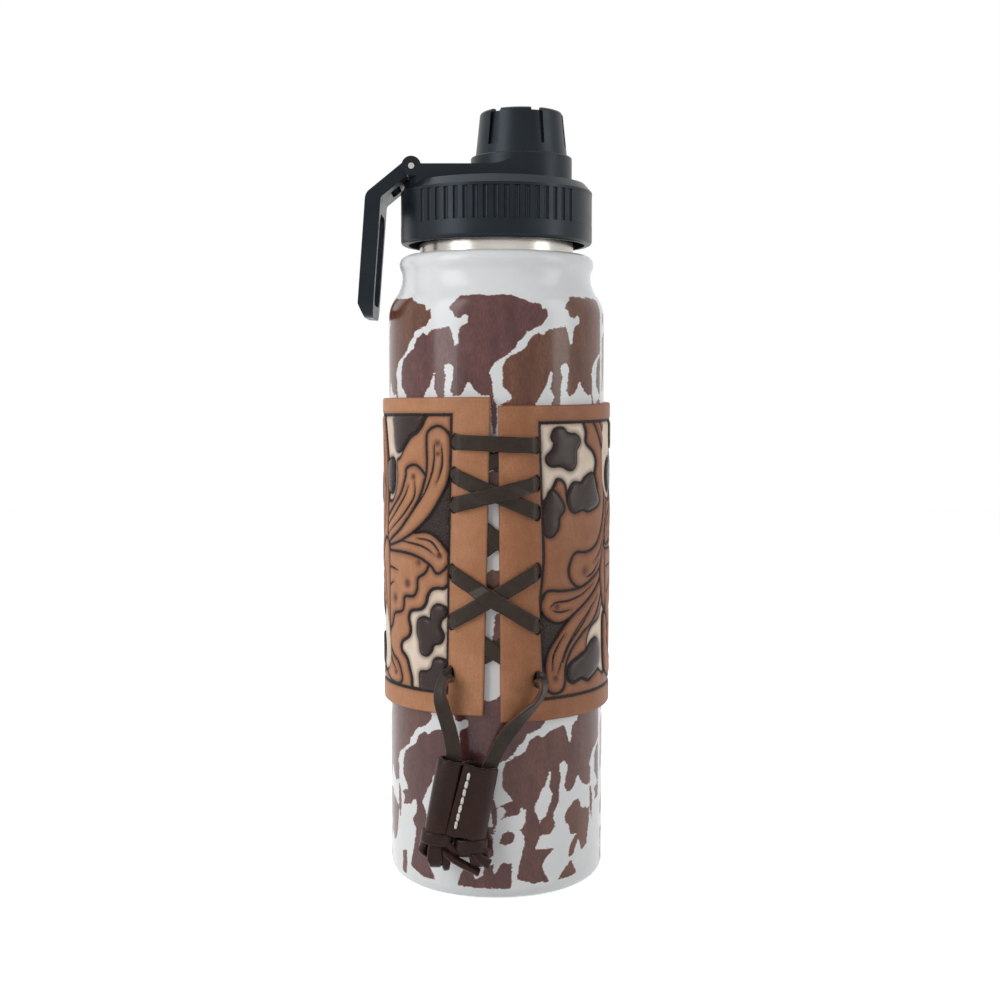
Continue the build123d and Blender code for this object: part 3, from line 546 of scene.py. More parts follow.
def coat_material():
    """White gloss coat with hairy spots, whose edges are ragged and a little red."""
    material, tree, shader = new_material("hide_print_coat")
    place = object_place(tree)
    ragged = noise(tree, object_place(tree, (0.7, 0.7, 1.25)), 1300.0, 5.0, 0.66)
    wide = noise(tree, place, 260.0, 2.0)
    fine_edge = mapped(tree, ragged, *MOST, -0.36, 0.36)
    rough_edge = math_node(tree, "ADD", fine_edge, mapped(tree, wide, *MOST, -0.24, 0.24))
    distance = math_node(tree, "ADD", attribute(tree, "spot"), rough_edge)
    fringe = mapped(tree, distance, 0.06, 0.3, 1.0, 0.0)
    hair_place = object_place(tree, (1.0, 1.0, 0.34))
    hair = noise(tree, hair_place, 1900.0, 6.0, 0.78)
    bands = noise(tree, hair_place, 240.0, 3.0, 0.55)
    grain = noise(tree, place, 420.0, 3.0, 0.6)
    maroon = mixed(tree, mapped(tree, bands, 0.2, 0.8), (0.1, 0.036, 0.038), (0.2, 0.086, 0.08))
    brown = mixed(tree, mapped(tree, bands, 0.2, 0.8), (0.125, 0.046, 0.022), (0.245, 0.1, 0.052))
    uneven = mapped(tree, grain, 0.3, 0.75, -0.2, 0.25)
    tone = math_node(tree, "ADD", attribute(tree, "tone"), uneven, clamp=True)
    spots = mixed(tree, tone, maroon, brown)
    spots = mixed(tree, mapped(tree, hair, 0.38, 0.66, 0.0, 0.55), spots, (0.045, 0.012, 0.014))
    spots = mixed(tree, math_node(tree, "MULTIPLY", fringe, 0.4), spots, (0.4, 0.1, 0.05))
    white = mixed(tree, mapped(tree, grain, *MOST), (0.84, 0.855, 0.865), (0.87, 0.88, 0.885))
    set_inputs(
        shader,
        Base_Color=mixed(tree, mapped(tree, distance, -0.06, 0.06), white, spots),
        Roughness=mapped(tree, grain, *MOST, 0.2, 0.27),
        Specular_IOR_Level=0.3,
        Coat_Weight=0.16,
        Coat_Roughness=0.06,
        Normal=bump(tree, ragged, 0.03, 0.0001),
    )
    return material


coat_mesh = turned_mesh("bottle_coat", coat_profile(), COAT_COLUMNS)
coat_spot, coat_tone = coat_spots(unrolled(coat_mesh))
store(coat_mesh, spot=coat_spot, tone=coat_tone)
add_piece(coat_mesh, coat_material(), "bottle", "coat", "bottle_shell", sharp=35)


# Leather sleeve: a grid bent round the bottle, carved on the flat by arc length from the front and height

LEATHER = 2.1
SLEEVE_INNER = BODY_RADIUS + 0.1
SLEEVE_OUTER = SLEEVE_INNER + LEATHER
THINNEST = 0.8
GIRTH = 2 * math.pi * SLEEVE_OUTER
SLEEVE_LOW, SLEEVE_TOP = 60.4, 162.4
SIDE_TOPS = {-1: 163.8, 1: 161.1}
SIDE_LOWS = {-1: 61.5, 1: 59.4}
GAP_TOPS = {-1: -1.8, 1: 0.6}
GAP_LOWS = {-1: -4.25, 1: 1.36}
HOLE_SETBACK = {-1: 11.1, 1: 12.2}
HOLE_WIDTH, HOLE_HEIGHT = 2.8, 5.4
HOLE_REACH = 2.0
HOLE_OVAL = 0.9
HOLE_ROWS = {
    -1: (149.6, 139.0, 129.4, 107.9, 91.7, 74.7),
    1: (148.4, 136.3, 126.9, 108.2, 90.2, 73.0),
}
HOLE_COLUMNS = (1, 5)  # The stretches of the grid's columns that hold the holes
CELL = 0.4
LEVEL_LOW, LEVEL_HIGH = 65.0, 156.5
PLAIN_SIDE = 40.0
TINY = 1e-6


def hole_place(side, row):
    """The middle of a lace hole on the front plane. A side is -1 on the left and 1 on the right."""
    height = HOLE_ROWS[side][row]
    share = (height - SLEEVE_LOW) / (SLEEVE_TOP - SLEEVE_LOW)
    return GAP_LOWS[side] + share * (GAP_TOPS[side] - GAP_LOWS[side]) + side * HOLE_SETBACK[side], height


def arc_of(x):
    """Arc length on the sleeve's outside for a distance across the front plane."""
    return SLEEVE_OUTER * np.arcsin(np.asarray(x) / SLEEVE_OUTER)


def hole_flat(side, row):
    x, z = hole_place(side, row)
    return np.array([float(arc_of(x)), z])


def every_hole():
    return [hole_flat(side, row) for side, rows in HOLE_ROWS.items() for row in range(len(rows))]


def from_front(u):
    """Arc length from the front, below zero on the left, for one counted once round."""
    return np.where(u < GIRTH / 2, u, u - GIRTH)


def by_side(u, pair):
    return np.where(u < GIRTH / 2, pair[1], pair[-1])


def stepped(anchors, cell):
    """Shares of each stretch between anchors, as (stretch number, share), about a cell apart."""
    places = []
    for number, (low, high) in enumerate(zip(anchors, anchors[1:])):
        count = max(1, round((high - low) / cell))
        places += [(number, step / count) for step in range(count)]
    return places + [(len(anchors) - 2, 1.0)]


def between(anchors, places):
    return [anchors[n] + share * (anchors[n + 1] - anchors[n]) for n, share in places]


def row_levels(heights):
    """The levels that the grid's rows keep to, for holes at these heights."""
    ends = sorted(z + end * HOLE_HEIGHT / 2 for z in heights for end in (-1, 1))
    return [SLEEVE_LOW, LEVEL_LOW] + ends + [LEVEL_HIGH, SLEEVE_TOP]


def oval_holes(u, z):
    """The grid drawn in round each hole, so that its block of missing cells opens as an oval."""
    move_u, move_z = np.zeros(u.shape), np.zeros(u.shape)
    for x, height in every_hole():
        across, along = (from_front(u) - x) / (HOLE_WIDTH / 2), (z - height) / (HOLE_HEIGHT / 2)
        ring = np.maximum(np.abs(across), np.abs(along))
        pull = HOLE_OVAL * (1 - smooth_share(ring, 1, HOLE_REACH))
        pull *= 1 - ring / np.maximum(np.hypot(across, along), TINY)
        move_u -= pull * across * HOLE_WIDTH / 2
        move_z -= pull * along * HOLE_HEIGHT / 2
    return u + move_u, z + move_z


def sleeve_grid():
    """Arc length and height of each grid point, the edges' heights, and which cells are leather."""
    row_anchors = row_levels([sum(pair) / 2 for pair in zip(*HOLE_ROWS.values())])
    rows = stepped(row_anchors, CELL)
    level = np.array(between(row_anchors, rows))
    share = (level - SLEEVE_LOW) / (SLEEVE_TOP - SLEEVE_LOW)
    edges = {side: GAP_LOWS[side] + share * (GAP_TOPS[side] - GAP_LOWS[side]) for side in (-1, 1)}
    half_hole = HOLE_WIDTH / 2
    right = [edges[1], edges[1] + HOLE_SETBACK[1] - half_hole, edges[1] + HOLE_SETBACK[1] + half_hole]
    left = [edges[-1] - HOLE_SETBACK[-1] - half_hole, edges[-1] - HOLE_SETBACK[-1] + half_hole, edges[-1]]
    flat = np.ones(len(level))
    anchors = [arc_of(x) for x in right] + [flat * PLAIN_SIDE, flat * (GIRTH - PLAIN_SIDE)]
    anchors += [GIRTH + arc_of(x) for x in left]
    columns = stepped([anchor.mean() for anchor in anchors], CELL)
    u = np.stack(between(anchors, columns), axis=1)
    back = (1 - np.cos(u / SLEEVE_OUTER)) / 2
    top = by_side(u, SIDE_TOPS) * (1 - back) + SLEEVE_TOP * back
    low = by_side(u, SIDE_LOWS) * (1 - back) + SLEEVE_LOW * back
    levels = {side: np.interp(level, row_anchors, row_levels(HOLE_ROWS[side]))[:, None] for side in (-1, 1)}
    z = by_side(u, levels) * (1 - back) + level[:, None] * back
    stretched = LEVEL_HIGH + (z - LEVEL_HIGH) * (top - LEVEL_HIGH) / (SLEEVE_TOP - LEVEL_HIGH)
    z = np.where(z > LEVEL_HIGH, stretched, z)
    stretched = LEVEL_LOW - (LEVEL_LOW - z) * (LEVEL_LOW - low) / (LEVEL_LOW - SLEEVE_LOW)
    z = np.where(z < LEVEL_LOW, stretched, z)
    hole_columns = np.array([n in HOLE_COLUMNS for n, _ in columns[:-1]])
    hole_rows = np.array([n in range(2, len(row_anchors) - 2, 2) for n, _ in rows[:-1]])
    return *oval_holes(u, z), top, low, ~(hole_rows[:, None] & hole_columns[None, :])


# Carving, as (kind, outline, line or place and size), left of the front and right of it
LEFT_GROUP = (
    ("cream", (
        (-25, 161), (-25, 156.5), (-27.5, 153), (-31, 151), (-34.6, 147.5), (-37.2, 144.2), (-39.8, 142.6),
        (-39.2, 138), (-40.6, 132.6), (-43.6, 129.4), (-49, 131), (-53, 138), (-53, 150), (-51, 161),
    )),
    ("inlay", (
        (-41.6, 160.5), (-26, 160.5), (-26.3, 156), (-28.2, 153.6), (-31.6, 151.9), (-34.2, 149.2),
        (-36.4, 146.8), (-39, 146.1), (-40.7, 148.2), (-41.4, 153.2),
    )),
    ("inlay", (
        (-41.6, 142.4), (-44.4, 143.2), (-47.6, 141.2), (-48.4, 137), (-46.4, 133), (-43, 132.4),
        (-41.4, 136),
    )),
    ("ground", (
        (-14, 140.5), (-19, 130.5), (-24.5, 125), (-30.5, 120.6), (-27.5, 119.6), (-22.5, 118.6),
        (-18, 114.8), (-14.5, 111.5),
    )),
    ("cream", (
        (-14, 100.4), (-18, 102.1), (-21.6, 101.8), (-23.6, 99.6), (-24.4, 97), (-26.6, 94.9),
        (-31.2, 93.8), (-32.4, 91.4), (-31.5, 88), (-32.4, 85.4), (-36.2, 83), (-36.6, 80.4), (-33.6, 78),
        (-32, 74.3), (-31, 71.3), (-29.5, 64), (-14, 64),
    )),
    ("inlay", (
        (-19.8, 96.7), (-17.3, 96), (-17, 94), (-18.9, 92), (-19.3, 89.6), (-18.1, 87.2), (-18.9, 85),
        (-21.7, 83.9), (-22.8, 81.6), (-24.7, 80.2), (-26.9, 81), (-27.4, 84.4), (-28.4, 87.2), (-27.9, 91),
        (-25.3, 92.1), (-22.8, 91.6), (-22.3, 94.6), (-21.4, 96),
    )),
    ("inlay", (
        (-20, 79.2), (-17.6, 78.8), (-16.4, 77), (-16.4, 70), (-17, 64), (-27, 64), (-27.3, 70),
        (-27.2, 73.8), (-24.2, 74.4), (-22.2, 76), (-21.4, 78.4),
    )),
    ("leaf", (
        (-48, 88.6), (-46.4, 86.8), (-43.4, 88), (-41.4, 92.2), (-36, 94), (-34.8, 98.5), (-30.2, 99.3),
        (-28.6, 101.5), (-28.2, 105.1), (-25, 107.2), (-23.8, 109.6), (-24.6, 112.2), (-30, 114.6),
        (-38, 115.6), (-49.5, 114.5),
    )),
    ("pit", ((-27.4, 110.3), 1.5)),
    ("pit", ((-32.8, 103), 1.6)),
    ("pit", ((-40.3, 97.4), 1.7)),
    ("vein", ((-49, 107), (-43, 107.3), (-38.5, 106.6))),
    ("vein", ((-48, 98), (-44, 101.5), (-41.5, 102.6))),
    ("leaf", (
        (-49, 116.6), (-40, 119), (-30, 119.4), (-24.4, 120), (-20.1, 118.3), (-16.9, 115), (-15.6, 112.4),
        (-16.9, 109.4), (-19.9, 107.4), (-22.4, 109.8), (-27.4, 112.2), (-34.7, 113.3), (-49, 113.4),
    )),
    ("vein", ((-41, 116.9), (-29, 116.1), (-24, 114.9), (-20.8, 112.8))),
    ("vein", ((-28.6, 118.1), (-22.8, 117.5), (-20, 115.2), (-18.7, 112.6))),
    ("pit", ((-19, 112.9), 1.3)),
    ("leaf", (
        (-33.4, 138), (-33.1, 140.2), (-30, 141.5), (-27, 140.6), (-24.2, 136.6), (-26.4, 130),
        (-33, 121.6), (-40, 117.5), (-49, 114.8), (-49, 121.4), (-42, 127), (-36.4, 132),
    )),
    ("vein", ((-29.2, 136.8), (-29.2, 132), (-32.6, 127.6), (-38, 123.2), (-48, 117.4))),
    ("vein", ((-32.2, 135), (-34.6, 131), (-41, 125), (-48, 120.4))),
    ("pit", ((-29.6, 138), 1.15)),
    ("leaf", (
        (-23.6, 150.8), (-22.4, 153.1), (-19.3, 154.2), (-16.4, 152.6), (-15.2, 149.6), (-15.3, 142),
        (-16.4, 136.4), (-19.3, 131.2), (-23.4, 125.6), (-30, 120.3), (-38, 116.6), (-46, 114.9),
        (-38, 119.4), (-33, 123.6), (-27.2, 130.4), (-24.4, 137), (-23.5, 142.4),
    )),
    ("vein", ((-20.9, 148.6), (-20.9, 143.7), (-22.2, 138.3), (-25.8, 131.6), (-33, 124.6))),
    ("vein", ((-18.2, 148.6), (-17.8, 143.5), (-18.6, 139.6), (-20.2, 136))),
    ("pit", ((-19.6, 149), 1.3)),
    ("pit", ((-19.5, 145.6), 1)),
    ("leaf", (
        (-36.6, 70.6), (-38.6, 69.2), (-42, 69), (-46, 70), (-50, 74), (-51, 90), (-47.8, 89.6),
        (-46.6, 82.4), (-42.8, 78), (-39.2, 76), (-37.4, 73.6),
    )),
    ("vein", ((-40.4, 73.4), (-43.6, 76.4), (-47.2, 82))),
    ("pit", ((-40, 72.6), 1.1)),
)
RIGHT_GROUP = (
    ("cream", (
        (12, 161), (32, 161), (32, 155.6), (33.2, 152.2), (33.3, 148.7), (37.4, 145.7), (39.3, 142.4),
        (38.6, 138.4), (40.2, 133), (33, 133), (27.4, 133.6), (25.2, 130.4), (24.1, 135.2), (22.4, 137.2),
        (20.5, 137.4), (19.4, 135.6), (17.4, 132.4), (12, 129),
    )),
    ("inlay", (
        (22.8, 153.6), (25, 151.8), (28.6, 151.3), (30.4, 149.2), (28.6, 146.6), (28.4, 142.2),
        (26.2, 140.5), (22.4, 141.9), (18.4, 142), (16.9, 144.3), (19.1, 146.6), (19.9, 149), (18.9, 151),
        (20, 153.3),
    )),
    ("inlay", (
        (37.2, 138.6), (33.4, 137.4), (31.2, 135.6), (27.8, 135.8), (25.9, 133.9), (24.9, 131),
        (25.9, 127.9), (28, 126.7), (31.5, 127.4), (35.2, 126.7), (41.5, 129), (39.9, 133.4), (38.6, 136.6),
    )),
    ("inlay", (
        (18.5, 133.6), (20.8, 132.2), (23.3, 128.2), (21.2, 125.2), (20.8, 121.9), (18.6, 119.3),
        (16.4, 120.1), (15.9, 124), (15.9, 127.6), (17.1, 131.2),
    )),
    ("ground", (
        (13.6, 94.6), (20, 92), (25.6, 91.2), (21.4, 86.6), (18.2, 82.4), (16.8, 77.6), (13.6, 76),
    )),
    ("leaf", (
        (36.4, 158.6), (41.6, 150.6), (45.4, 143), (46.4, 134), (45.4, 124.4), (41.8, 117), (37.6, 113.8),
        (33, 112.8), (28.1, 112.8), (25.6, 108.2), (26.7, 104.3), (30.1, 102.2), (34.4, 102.6),
        (40.6, 104.8), (45.6, 110), (49.6, 118), (50.2, 134), (49, 146), (44, 158.6),
    )),
    ("vein", (
        (40.6, 157.4), (44.4, 151), (47.2, 143), (48.2, 132), (46.8, 121.6), (42.4, 113.2), (37.6, 109.4),
    )),
    ("vein", ((33.6, 104.9), (37.2, 106), (41.4, 109.6))),
    ("pit", ((32.6, 107), 1.7)),
    ("leaf", (
        (17.3, 101.2), (15.6, 99), (15, 96.6), (16.2, 93.6), (20.1, 91.2), (23.8, 91.4), (28.4, 94),
        (33.4, 96.6), (41.4, 102.4), (46, 108.4), (38.6, 104.6), (33.6, 102.3), (28.9, 101.1),
        (22.6, 100.9),
    )),
    ("vein", ((18.2, 96.2), (20, 97.6), (25.2, 97.9), (31.2, 99.4), (37.6, 102.4))),
    ("vein", ((18.9, 95), (21.9, 94.4), (26.4, 94.9))),
    ("pit", ((20.4, 96.3), 1.3)),
    ("leaf", (
        (26, 91.6), (21, 86.2), (17.9, 81.9), (16.7, 77.2), (16.7, 70.8), (19.2, 68.3), (22.2, 68.8),
        (23.6, 71.2), (24, 76.9), (26.4, 82), (31.8, 87), (36.2, 89.4), (41, 94.5), (46.4, 106),
        (37.4, 98.8),
    )),
    ("vein", ((18.9, 75.4), (19.2, 80.1), (21.2, 84), (23.6, 87))),
    ("vein", ((21, 74.6), (22.6, 78.4), (25.4, 84), (30.2, 89.6), (37.2, 95.4))),
    ("vein", ((22.9, 77.6), (25.6, 83.4), (32, 90), (40, 98))),
    ("pit", ((19.9, 72.9), 1.2)),
    ("leaf", ((42.8, 107), (44.4, 98), (48.6, 90), (51.4, 86), (51.4, 112), (47, 116))),
    ("vein", ((46.6, 108), (47.6, 100), (49.8, 93))),
    ("cream", (
        (45.4, 94.6), (42.4, 90.6), (37.2, 88.2), (34.6, 84.8), (33.8, 80.6), (30.6, 79.2), (25.8, 76.6),
        (24.9, 72.8), (27.4, 70.8), (31.4, 71.8), (35.3, 70.6), (41, 73.4), (46, 71.4), (51.5, 75),
        (50.4, 86),
    )),
    ("inlay", (
        (40.8, 83.3), (43.1, 78.6), (40.9, 73.8), (35.3, 71), (31.4, 72.2), (27.4, 71.3), (25.5, 72.9),
        (26, 76.2), (31.4, 78.7), (34.2, 80.2), (37.3, 83),
    )),
)
GROUP_PLACES = {
    -1: ((LEFT_GROUP, 0.0, 1), (RIGHT_GROUP, -97.0, 1), (LEFT_GROUP, -136.6, -1)),
    1: ((RIGHT_GROUP, 0.0, 1), (LEFT_GROUP, 97.0, 1), (RIGHT_GROUP, 136.6, -1)),
}
GROUP_REACH = (10, 53)
PAINTED = ("line", "cream", "inlay", "ground")
CURVE_STEPS = 5
LINE_HALF = {"cream": 0.58, "inlay": 0.46, "leaf": 0.5, "ground": 0.0}
LINE_OUT = {"cream": 0.15, "inlay": 0.32, "leaf": 0.34, "ground": 0.0}
LINE_SHADE, LINE_FADE = 0.72, 1.35
KIND_LEVEL = {"cream": -0.32, "inlay": 0.05, "leaf": 0.0, "ground": -0.5}
CROWNED = ("leaf", "inlay")
CROWN, CROWN_FADE = 0.3, 1.0
SUNK = 0.12
PRESSED, PRESSED_FADE = 0.34, 0.9
STEP_WIDTH = 0.5
PIT_DEPTH, PIT_FADE = 0.28, 1.6
VEIN_HALF, VEIN_DEPTH = 0.42, 0.34
VEIN_SHADE, VEIN_FADE = 0.42, 1.1
MOTIF_MARGIN, VEIN_MARGIN = 3.0, 2.0
# The border of the carved field, as heights and places of its upright lines beside the lace holes
BORDER_TOP, BORDER_LOW = 5.75, 7.2
SIDE_BORDERS = {
    -1: ((60, -16.7), (77, -16.6), (112, -15.9), (158, -14.8), (164, -14.7)),
    1: ((60, 16.3), (71, 16.1), (99, 14.7), (112, 15.9), (155.6, 14.3), (164, 14.2)),
}
BORDER_HALF, BORDER_OUT = 0.56, 0.15
BORDER_STEP = 0.6
BORDER_DEPTH, BORDER_REACH = 0.36, 0.75
BORDER_SHADE, BORDER_FADE = 0.55, 1.2
PANEL_LINES = (83.3, GIRTH / 2)  # Plain lines that part the unseen back into panels
EDGE_ROUND, EDGE_REACH = 0.34, 0.6


def bell(distance, reach=1.0):
    return np.exp(-((distance / reach) ** 2))


def curved(points, closed=True):
    """A Catmull-Rom curve through the points."""
    known = np.array(points, float)
    if closed:
        ring = np.concatenate([known[-1:], known, known[:2]])
    else:
        ring = np.concatenate([2 * known[:1] - known[1:2], known, 2 * known[-1:] - known[-2:-1]])
    before, start, end, after = ring[:-3], ring[1:-2], ring[2:-1], ring[3:]
    path = []
    for t in np.arange(CURVE_STEPS) / CURVE_STEPS:
        bend = 2 * start + (end - before) * t + (2 * before - 5 * start + 4 * end - after) * t**2
        path.append((bend + (3 * start - before - 3 * end + after) * t**3) / 2)
    path = np.stack(path, axis=1).reshape(-1, 2)
    return path if closed else np.concatenate([path, known[-1:]])


def raise_to(field, name, chosen, values):
    field[name][chosen] = np.maximum(field[name][chosen], values)


def carve_pit(points, field, place, size):
    x, y = place
    chosen = near(points, [(x - size, y - size), (x + size, y + size)], 2 * size)
    distance = np.hypot(points[chosen, 0] - x, points[chosen, 1] - y) / size
    raise_to(field, "shade", chosen, bell(distance))
    field["height"][chosen] -= PIT_DEPTH * np.exp(-(distance**2) * PIT_FADE)


def carve_vein(points, field, line):
    """A knife cut that swells and thins along its way."""
    path = curved(line, closed=False)
    chosen = near(points, path, VEIN_MARGIN)
    distance, along = line_distance(points[chosen], path)
    half = VEIN_HALF * np.sin(math.pi * np.clip(along * 0.86 + 0.1, 0, 1)) ** 0.7
    raise_to(field, "line", chosen, half - distance)
    field["height"][chosen] -= VEIN_DEPTH * bell(distance, VEIN_HALF)
    raise_to(field, "shade", chosen, VEIN_SHADE * bell(distance, VEIN_FADE))


def carve_motif(points, field, kind, outline):
    """A motif with its cut outline, laid over what was carved before it."""
    outline = curved(outline)
    chosen = near(points, outline, MOTIF_MARGIN)
    if not len(chosen):
        return
    distance = outline_distance(points[chosen], outline)
    within, beyond = np.clip(distance, 0, None), np.clip(-distance, 0, None)
    for name in PAINTED:
        field[name][chosen] = np.minimum(field[name][chosen], -distance)
    if kind != "leaf":
        raise_to(field, kind, chosen, distance)
    inside = np.clip(distance / STEP_WIDTH + 0.5, 0, 1)
    crown = CROWN * (1 - np.exp(-within / CROWN_FADE)) if kind in CROWNED else 0.0
    pressed = PRESSED * np.exp(-beyond / PRESSED_FADE)
    level = KIND_LEVEL[kind] + crown - SUNK
    field["height"][chosen] = inside * level + (1 - inside) * (field["height"][chosen] - pressed)
    if LINE_HALF[kind]:
        from_line = np.abs(distance + LINE_OUT[kind])
        raise_to(field, "line", chosen, LINE_HALF[kind] - from_line)
        field["shade"][chosen] = np.where(distance > 0, 0, field["shade"][chosen])
        raise_to(field, "shade", chosen, LINE_SHADE * bell(from_line, LINE_FADE))


def carve(points, field, kind, shape, shift, mirror):
    if kind == "pit":
        place, size = shape
        carve_pit(points, field, shifted([place], shift, 0, mirror)[0], size)
    elif kind == "vein":
        carve_vein(points, field, shifted(shape, shift, 0, mirror))
    else:
        carve_motif(points, field, kind, shifted(shape, shift, 0, mirror))


def carve_border(points, field, top, low):
    """Cut all painting off at the border, and carve the border's own line."""
    border = np.minimum(top.ravel() - BORDER_TOP - points[:, 1], points[:, 1] - low.ravel() - BORDER_LOW)
    for side, line in SIDE_BORDERS.items():
        limit = np.interp(points[:, 1], *np.array(line).T)
        beside = np.minimum(border, side * (points[:, 0] - limit))
        border = np.where(np.sign(points[:, 0]) == side, beside, border)
    for line in PANEL_LINES:
        border = np.minimum(border, np.abs(np.abs(points[:, 0]) - line))
    for name in PAINTED:
        field[name] = np.minimum(field[name], border)
    field["line"] = np.maximum(field["line"], BORDER_HALF - np.abs(border + BORDER_OUT))
    inside = np.clip(border / BORDER_STEP + 0.5, 0, 1)
    field["height"] = inside * field["height"] - BORDER_DEPTH * bell(border, BORDER_REACH)
    field["shade"] = np.maximum(field["shade"] * inside, BORDER_SHADE * bell(border, BORDER_FADE))


def carved_sleeve(u, z, top, low):
    """Height and painted fields of the outer face."""
    points = np.stack([from_front(u).ravel(), z.ravel()], axis=1)
    field = {name: np.full(len(points), -FAR) for name in PAINTED}
    field["height"], field["shade"] = np.zeros(len(points)), np.zeros(len(points))
    for side, places in GROUP_PLACES.items():
        for group, shift, mirror in places:
            outward = mirror * np.sign(group[0][1][0][0])
            start, end = sorted(shift + outward * reach for reach in GROUP_REACH)
            in_reach = (points[:, 0] > start) & (points[:, 0] < end)
            window = np.flatnonzero(in_reach & (np.sign(points[:, 0]) == side))
            part = {name: values[window] for name, values in field.items()}
            for kind, shape in group:
                carve(points[window], part, kind, shape, shift, mirror)
            for name, values in field.items():
                values[window] = part[name]
    carve_border(points, field, top, low)
    return field


def edge_distance(u, z, top, low):
    """How far each point lies from the nearest edge or lace hole."""
    distance = np.minimum(top - z, z - low)
    distance = np.minimum(distance, np.minimum(u - u[:, :1], u[:, -1:] - u))
    for x, height in every_hole():
        across, along = from_front(u) - x, z - height
        size = np.hypot(across / (HOLE_WIDTH / 2), along / (HOLE_HEIGHT / 2))
        distance = np.minimum(distance, np.hypot(across, along) * (1 - 1 / np.maximum(size, 1)))
    return distance


def bent(radius, u, z):
    angle = u / SLEEVE_OUTER
    return np.stack([radius * np.sin(angle), -radius * np.cos(angle), z], axis=-1).reshape(-1, 3)


def sleeve_mesh():
    u, z, top, low, leather = sleeve_grid()
    field = carved_sleeve(u, z, top, low)
    edge = edge_distance(u, z, top, low)
    rounding = EDGE_ROUND * np.clip(1 - edge / EDGE_REACH, 0, 1) ** 2
    radius = SLEEVE_OUTER + field["height"].reshape(u.shape) - rounding
    radius = np.maximum(radius, SLEEVE_INNER + THINNEST)
    rows, columns = u.shape
    count = rows * columns
    number = np.arange(count).reshape(rows, columns)
    a, b, c, d = number[:-1, :-1], number[:-1, 1:], number[1:, 1:], number[1:, :-1]
    both = np.stack([a, b, c, d], axis=-1)[leather]
    quads = [both, both[:, ::-1] + count]
    padded = np.pad(leather, 1)
    for beside, first, second in (
        (padded[:-2, 1:-1], a, b),
        (padded[1:-1, 2:], b, c),
        (padded[2:, 1:-1], c, d),
        (padded[1:-1, :-2], d, a),
    ):
        rim = leather & ~beside
        first, second = first[rim], second[rim]
        quads.append(np.stack([second, first, first + count, second + count], axis=-1))
    verts = np.concatenate([bent(radius, u, z), bent(SLEEVE_INNER, u, z)]) * MM
    mesh = bpy.data.meshes.new("leather_sleeve_tooled")
    mesh.from_pydata(verts.tolist(), [], np.concatenate(quads).tolist())
    back = np.zeros(count)
    for name in PAINTED:
        store(mesh, **{name: np.concatenate([field[name], back - FAR])})
    store(mesh, shade=np.concatenate([field["shade"], back]), edge=np.tile(edge.ravel(), 2))
    store(mesh, inner_face=np.concatenate([back, back + 1]))
    mesh.validate()
    return mesh


# Painted shade: the hide is darkened on the right as if lit from the left, given as where that starts and is
# full in metres, and the colour it is times
PAINTED_SHADE_SIDE = (-0.012, 0.016)
PAINTED_SHADE_TINT = (0.66, 0.6, 0.58)


def tan_colour(tree, grain, cloud):
    """Plain leather with clouds, fibres, blotches and pores, with painted shade on the right."""
    blotch = noise(tree, object_place(tree), 38.0, 2.0)
    fibres = noise(tree, object_place(tree, (1.0, 1.0, 0.14)), 1900.0, 3.0, 0.6)
    tan = mixed(tree, mapped(tree, cloud, 0.3, 0.72), (0.45, 0.2, 0.096), (0.62, 0.3, 0.155))
    tan = mixed(tree, mapped(tree, fibres, 0.36, 0.7, 0.0, 0.3), tan, (0.36, 0.14, 0.06))
    tan = mixed(tree, mapped(tree, blotch, 0.4, 0.75, 0.0, 0.3), tan, (0.48, 0.2, 0.088))
    tan = mixed(tree, mapped(tree, grain, 0.48, 0.74, 0.0, 0.5), tan, (0.26, 0.1, 0.045))
    # Painted shade: the right side is darkened, with an edge made wavy by the blotches
    across = add_node(tree, "ShaderNodeSeparateXYZ", Vector=object_place(tree)).outputs[0]
    wavy = math_node(tree, "ADD", across, mapped(tree, blotch, *MOST, -0.006, 0.006))
    return mixed(tree, mapped(tree, wavy, *PAINTED_SHADE_SIDE, smooth=True), tan, PAINTED_SHADE_TINT, "MULTIPLY"), fibres


